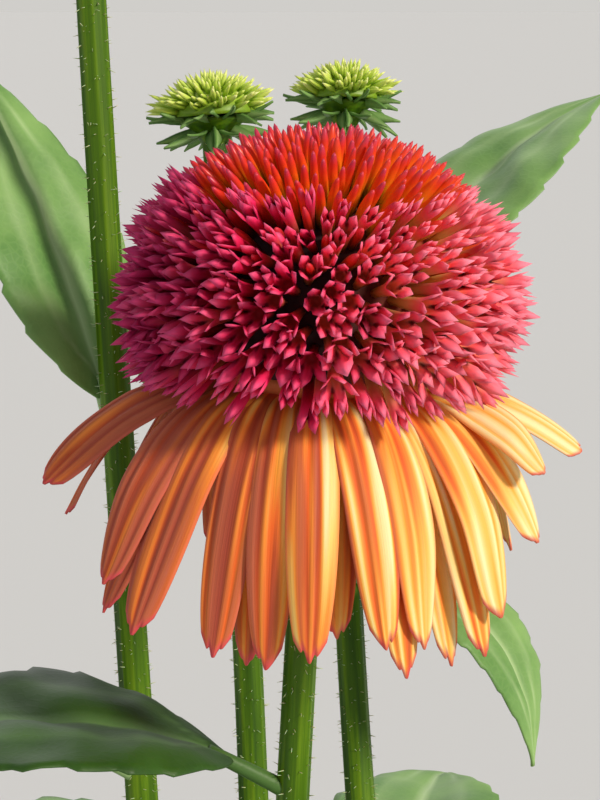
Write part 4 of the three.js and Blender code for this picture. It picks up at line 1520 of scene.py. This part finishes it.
for number, leaf in enumerate(BASAL_LEAVES):
    part = basal_leaf(*leaf, random.Random(90 + number))
    keep(make_piece(f"low_leaf_{number + 1}", part, LEAF_SKIN), "leaf_green", f"leaf_basal_{number + 1}")

# %% [markdown]
# ## The clay pot
#
# A clay pot is thrown or pressed, then fired without glaze, so it is matt and a little uneven, with
# faint rings from turning and pale lime where water has dried. The profile is turned on a lathe of many
# sides with rounded edges, and the drain holes are cut with a Boolean, as a potter cuts them with a
# tool before firing.

# %% Terracotta
POT = {"height": 150, "foot": 57, "shoulder": 73, "rim": 80.5, "rim_height": 28, "taper": 2, "wall": 6,
       "floor": 9, "edge": 2, "drain": 5, "drain_circle": 28, "drains": 3, "sides": 120}


def terracotta_finish():
    material, tree, shader = new_finish("terracotta", 0.85)
    place = add(tree, "ShaderNodeTexCoord").outputs["Object"]
    patches = add(tree, "ShaderNodeTexNoise", {"Vector": place, "Scale": 1 / (45 * MM), "Detail": 5.0})
    clay = add(tree, "ShaderNodeValToRGB", {"Fac": patches}, stops=[
        (0.3, "#9C5232"), (0.5, "#B5643F"), (0.7, "#C97B52"),
    ])
    grit = add(tree, "ShaderNodeTexNoise", {"Vector": place, "Scale": 1 / (1.2 * MM), "Detail": 2.0})
    speckled = add(tree, "ShaderNodeHueSaturation", {
        "Value": add(tree, "ShaderNodeMapRange", {"Value": grit, "To Min": 0.85, "To Max": 1.15}),
        "Color": clay,
    })
    lime = add(tree, "ShaderNodeTexNoise", {
        "Vector": place, "Scale": 1 / (28 * MM), "Detail": 7.0, "Roughness": 0.7,
    })
    bloom = add(tree, "ShaderNodeMapRange", {
        "Value": lime, "From Min": 0.54, "From Max": 0.74, "To Max": 0.4,
    }, interpolation_type="SMOOTHSTEP")
    limed = add(tree, "ShaderNodeMix", {
        "Factor": bloom, "A": speckled, "B": linear("#DCC8B4"),
    }, data_type="RGBA")
    tree.links.new(limed.outputs[2], shader.inputs["Base Color"])
    up = add(tree, "ShaderNodeSeparateXYZ", {"Vector": place}).outputs["Z"]
    rings = add(tree, "ShaderNodeMath", {
        0: add(tree, "ShaderNodeMath", {0: up, 1: math.tau / (3.2 * MM)}, operation="MULTIPLY"),
    }, operation="SINE")
    relief = add(tree, "ShaderNodeMath", {
        0: add(tree, "ShaderNodeMath", {0: rings, 1: 0.12}, operation="MULTIPLY"), 1: grit,
    }, operation="ADD")
    bump = add(tree, "ShaderNodeBump", {"Strength": 0.6, "Distance": 0.35 * MM, "Height": relief})
    tree.links.new(bump.outputs[0], shader.inputs["Normal"])
    return material


TERRACOTTA = terracotta_finish()
print(TERRACOTTA.name, "has", len(TERRACOTTA.node_tree.nodes), "nodes")

# %% [markdown]
# The walls taper, and the inside follows the outside at an even thickness. The Boolean's result is
# kept as a plain mesh and its modifier is removed, so the pot reaches the frame as simple as the rest.

# %% The pot


def wall_radius(level):
    return mix(POT["foot"], POT["shoulder"], level / (POT["height"] - POT["rim_height"]))


def inner_radius(level):
    return wall_radius(level) - POT["wall"]


def rounded(corners, radius, steps=5):
    """A profile whose inner corners are rounded off."""
    made = [corners[0]]
    for before, corner, after in zip(corners, corners[1:], corners[2:]):
        before, corner, after = Vector(before), Vector(corner), Vector(after)
        cut = min(radius, (corner - before).length * 0.45, (after - corner).length * 0.45)
        start = corner + (before - corner).normalized() * cut
        end = corner + (after - corner).normalized() * cut
        made += [tuple(curve_point([start, corner, end], step / steps)) for step in range(steps + 1)]
    return made + [corners[-1]]


rim_foot = POT["height"] - POT["rim_height"]
pot_profile = rounded([
    (0, 0), (POT["foot"], 0), (POT["shoulder"], rim_foot), (POT["rim"] - POT["taper"] - 0.5, rim_foot),
    (POT["rim"], POT["height"]), (inner_radius(POT["height"]), POT["height"]),
    (inner_radius(POT["floor"]), POT["floor"]), (0, POT["floor"]),
], POT["edge"])
pot = make_piece("clay_pot", turned(pot_profile, POT["sides"]), TERRACOTTA)
drills = []
for number in range(POT["drains"]):
    angle = number / POT["drains"] * math.tau
    spot = Vector((math.cos(angle), math.sin(angle), 0)) * POT["drain_circle"]
    reach = 2 * POT["floor"]
    bit = turned([(0, -reach), (POT["drain"], -reach), (POT["drain"], reach), (0, reach)], 24)
    drills.append(moved(bit, Matrix.Translation(spot)))
drill = make_piece("drill", gather(drills))
cut = pot.modifiers.new("drains", "BOOLEAN")
cut.object = drill
cut.operation = "DIFFERENCE"
depsgraph = bpy.context.evaluated_depsgraph_get()
drilled = bpy.data.meshes.new_from_object(pot.evaluated_get(depsgraph), depsgraph=depsgraph)
pot.modifiers.clear()
pot.data = drilled
bpy.data.objects.remove(drill)
keep(pot, "terracotta", "pot")

# %% [markdown]
# ## The compost
#
# Compost is crumbs of peat and bark, a few millimetres across, with white grains of perlite in it. Its
# surface is a turned mound made uneven by noise. Crumbs and grains are scattered over it, tumbled every
# way, so their outlines show against the pot's rim, and only each crumb's own grain is left to bump.

# %% Compost
SOIL = {"foot": POT["floor"] + GAP, "mound": 4.0, "sunk": 1.5, "hills": 0.9, "lumps": 0.4}


def crumb_finish(name, low, high, grain):
    material, tree, shader = new_finish(name, 0.95)
    tone = add(tree, "ShaderNodeAttribute", attribute_name="tone").outputs["Fac"]
    place = add(tree, "ShaderNodeTexCoord").outputs["Object"]
    speck = add(tree, "ShaderNodeTexNoise", {"Vector": place, "Scale": 1 / (grain * MM), "Detail": 3.0})
    share = add(tree, "ShaderNodeMath", {0: tone, 1: speck}, operation="MULTIPLY_ADD")
    share.inputs[2].default_value = 0.1
    colour = add(tree, "ShaderNodeMix", {
        "Factor": share, "A": linear(low), "B": linear(high),
    }, data_type="RGBA")
    tree.links.new(colour.outputs[2], shader.inputs["Base Color"])
    bump = add(tree, "ShaderNodeBump", {"Strength": 0.7, "Distance": 0.5 * MM, "Height": speck})
    tree.links.new(bump.outputs[0], shader.inputs["Normal"])
    return material


def soil_part():
    edge = inner_radius(SOIL_TOP) - 0.2
    profile = [(0, SOIL["foot"]), (inner_radius(SOIL["foot"]) - GAP, SOIL["foot"])]
    steps = 22
    for step in range(steps):
        radius = edge * (1 - step / steps)
        share = step / steps
        profile.append((radius, SOIL_TOP - SOIL["sunk"] + SOIL["mound"] * 0.35 * math.sin(share * math.pi)))
    profile.append((0, SOIL_TOP - 1.0))
    points, faces, marks = turned(profile, 72)
    for point in points:
        if point.z > SOIL_TOP - 3:
            point.z += SOIL["hills"] * noise.noise(Vector((point.x, point.y, 0)) * 0.11)
            point.z += SOIL["lumps"] * noise.noise(Vector((point.x, point.y, 5)) * 0.4)
    marks["tone"] = [0.4] * len(points)
    return points, faces, marks


def crumb_forms(count, size, flatness):
    chance = random.Random(count)
    forms = []
    for i in range(count):
        work = bmesh.new()
        bmesh.ops.create_icosphere(work, subdivisions=1, radius=size)
        points = [v.co * chance.uniform(0.65, 1.15) for v in work.verts]
        faces = [[v.index for v in face.verts] for face in work.faces]
        work.free()
        points = [Vector((p.x, p.y * chance.uniform(0.6, 1.0), p.z * flatness)) for p in points]
        forms.append(make_piece(f"crumb_{i}", (points, faces, {}), smooth=False))
    return forms


PEAT = crumb_finish("peat_and_bark", "#1A110C", "#5A4230", 2.0)
soil = make_piece("compost", soil_part(), PEAT)
keep(soil, "compost", "soil")


def soil_top():
    """The level part of the compost, for crumbs to lie on."""
    sides, rings = 48, 6
    edge = inner_radius(SOIL_TOP) - 2.4
    points = [Vector((0, 0, SOIL_TOP - 0.8))]
    for ring in range(1, rings + 1):
        for side in range(sides):
            angle = side / sides * math.tau
            reach_out = edge * ring / rings
            x, y = reach_out * math.cos(angle), reach_out * math.sin(angle)
            points.append(Vector((x, y, SOIL_TOP - 1.0)))
    faces = [[0, 1 + side, 1 + (side + 1) % sides] for side in range(sides)]
    for ring in range(rings - 1):
        for side in range(sides):
            a, b = 1 + ring * sides + side, 1 + ring * sides + (side + 1) % sides
            faces.append([a, a + sides, b + sides, b])
    return points, faces, {}


ground = make_piece("ground", soil_top())
for name, density, size, flatness, skin, seed, range_of_sizes in (
    ("compost_crumbs", 1.9e5, 1.0, 0.8, PEAT, 71, (0.5, 1.7)),
    ("compost_bark", 1.6e4, 2.4, 0.35, crumb_finish("bark", "#2A1A10", "#7A5638", 3.0), 72, (0.5, 1.1)),
    ("compost_perlite", 5e3, 1.1, 0.9, crumb_finish("perlite", "#C9C4BA", "#F2EFE8", 1.0), 73, (0.6, 1.3)),
):
    crumbs = grow(
        name, SCATTER_TREE, crumb_forms(4, size, flatness), skin, ground, per_square_metre=density,
        seed=seed, smallest=range_of_sizes[0], largest=range_of_sizes[1], wobble=3.0,
    )
    keep(crumbs, "compost")
bpy.data.objects.remove(ground)

# %% [markdown]
# ## Floor and light
#
# A plain pale floor runs to the horizon. A warm sun stands high on the right and lights that side of
# the head. It is ten degrees wide, so its shadows are soft. A dim, very wide one fills from the left,
# a third lights from behind, and the pale sky does the rest. What the camera sees of the sky has the
# colour of the lit floor, so from the front no line shows where they meet. Towards the suns the floor
# is brighter, and there a level line can be seen. The view transform is Standard, because the usual
# one, AgX, pales strong reds and oranges.

# %% Floor, lamps and sky


def floor_finish():
    material, tree, shader = new_finish("studio_floor", 0.9)
    shader.inputs["Base Color"].default_value = linear("#D8DADC")
    return material


floor_half = 60000
floor = make_piece("floor", ([
    Vector((-floor_half, -floor_half, 0)), Vector((floor_half, -floor_half, 0)),
    Vector((floor_half, floor_half, 0)), Vector((-floor_half, floor_half, 0)),
], [[0, 1, 2, 3]], {}), floor_finish())


def lamp(kind, name, place, power, colour, **settings):
    """A lamp that looks at the bloom from its place."""
    made = bpy.data.objects.new(name, bpy.data.lights.new(name, kind))
    made.data.energy = power
    made.data.color = linear(colour)[:3]
    for label, value in settings.items():
        setattr(made.data, label, value)
    made.location = Vector(place) * MM
    made.rotation_euler = (Vector(place) - BLOOM_CENTRE).to_track_quat("Z", "Y").to_euler()
    bpy.context.scene.collection.objects.link(made)


lamp("SUN", "key", (820, -600, 930), 3.1, "#FFF4E4", angle=math.radians(10))
lamp("SUN", "fill", (-900, -700, 700), 0.35, "#F0F2FF", angle=math.radians(70))
lamp("SUN", "back", (-200, 900, 900), 0.6, "#FFFFFF", angle=math.radians(50))

world = bpy.data.worlds.new("studio")
bpy.context.scene.world = world
world.use_nodes = True
sky = world.node_tree.nodes["Background"]
seen = add(world.node_tree, "ShaderNodeLightPath").outputs["Is Camera Ray"]
sky_colour = add(world.node_tree, "ShaderNodeMix", {
    "Factor": seen, "A": linear("#F2F3F4"), "B": linear("#D0CECA"),
}, data_type="RGBA")
strength = add(world.node_tree, "ShaderNodeMapRange", {"Value": seen, "To Min": 0.34, "To Max": 1.0})
world.node_tree.links.new(sky_colour.outputs[2], sky.inputs["Color"])
world.node_tree.links.new(strength.outputs[0], sky.inputs["Strength"])
bpy.context.scene.view_settings.view_transform = "Standard"
print("lamps:", sorted(light.name for light in bpy.data.lights))
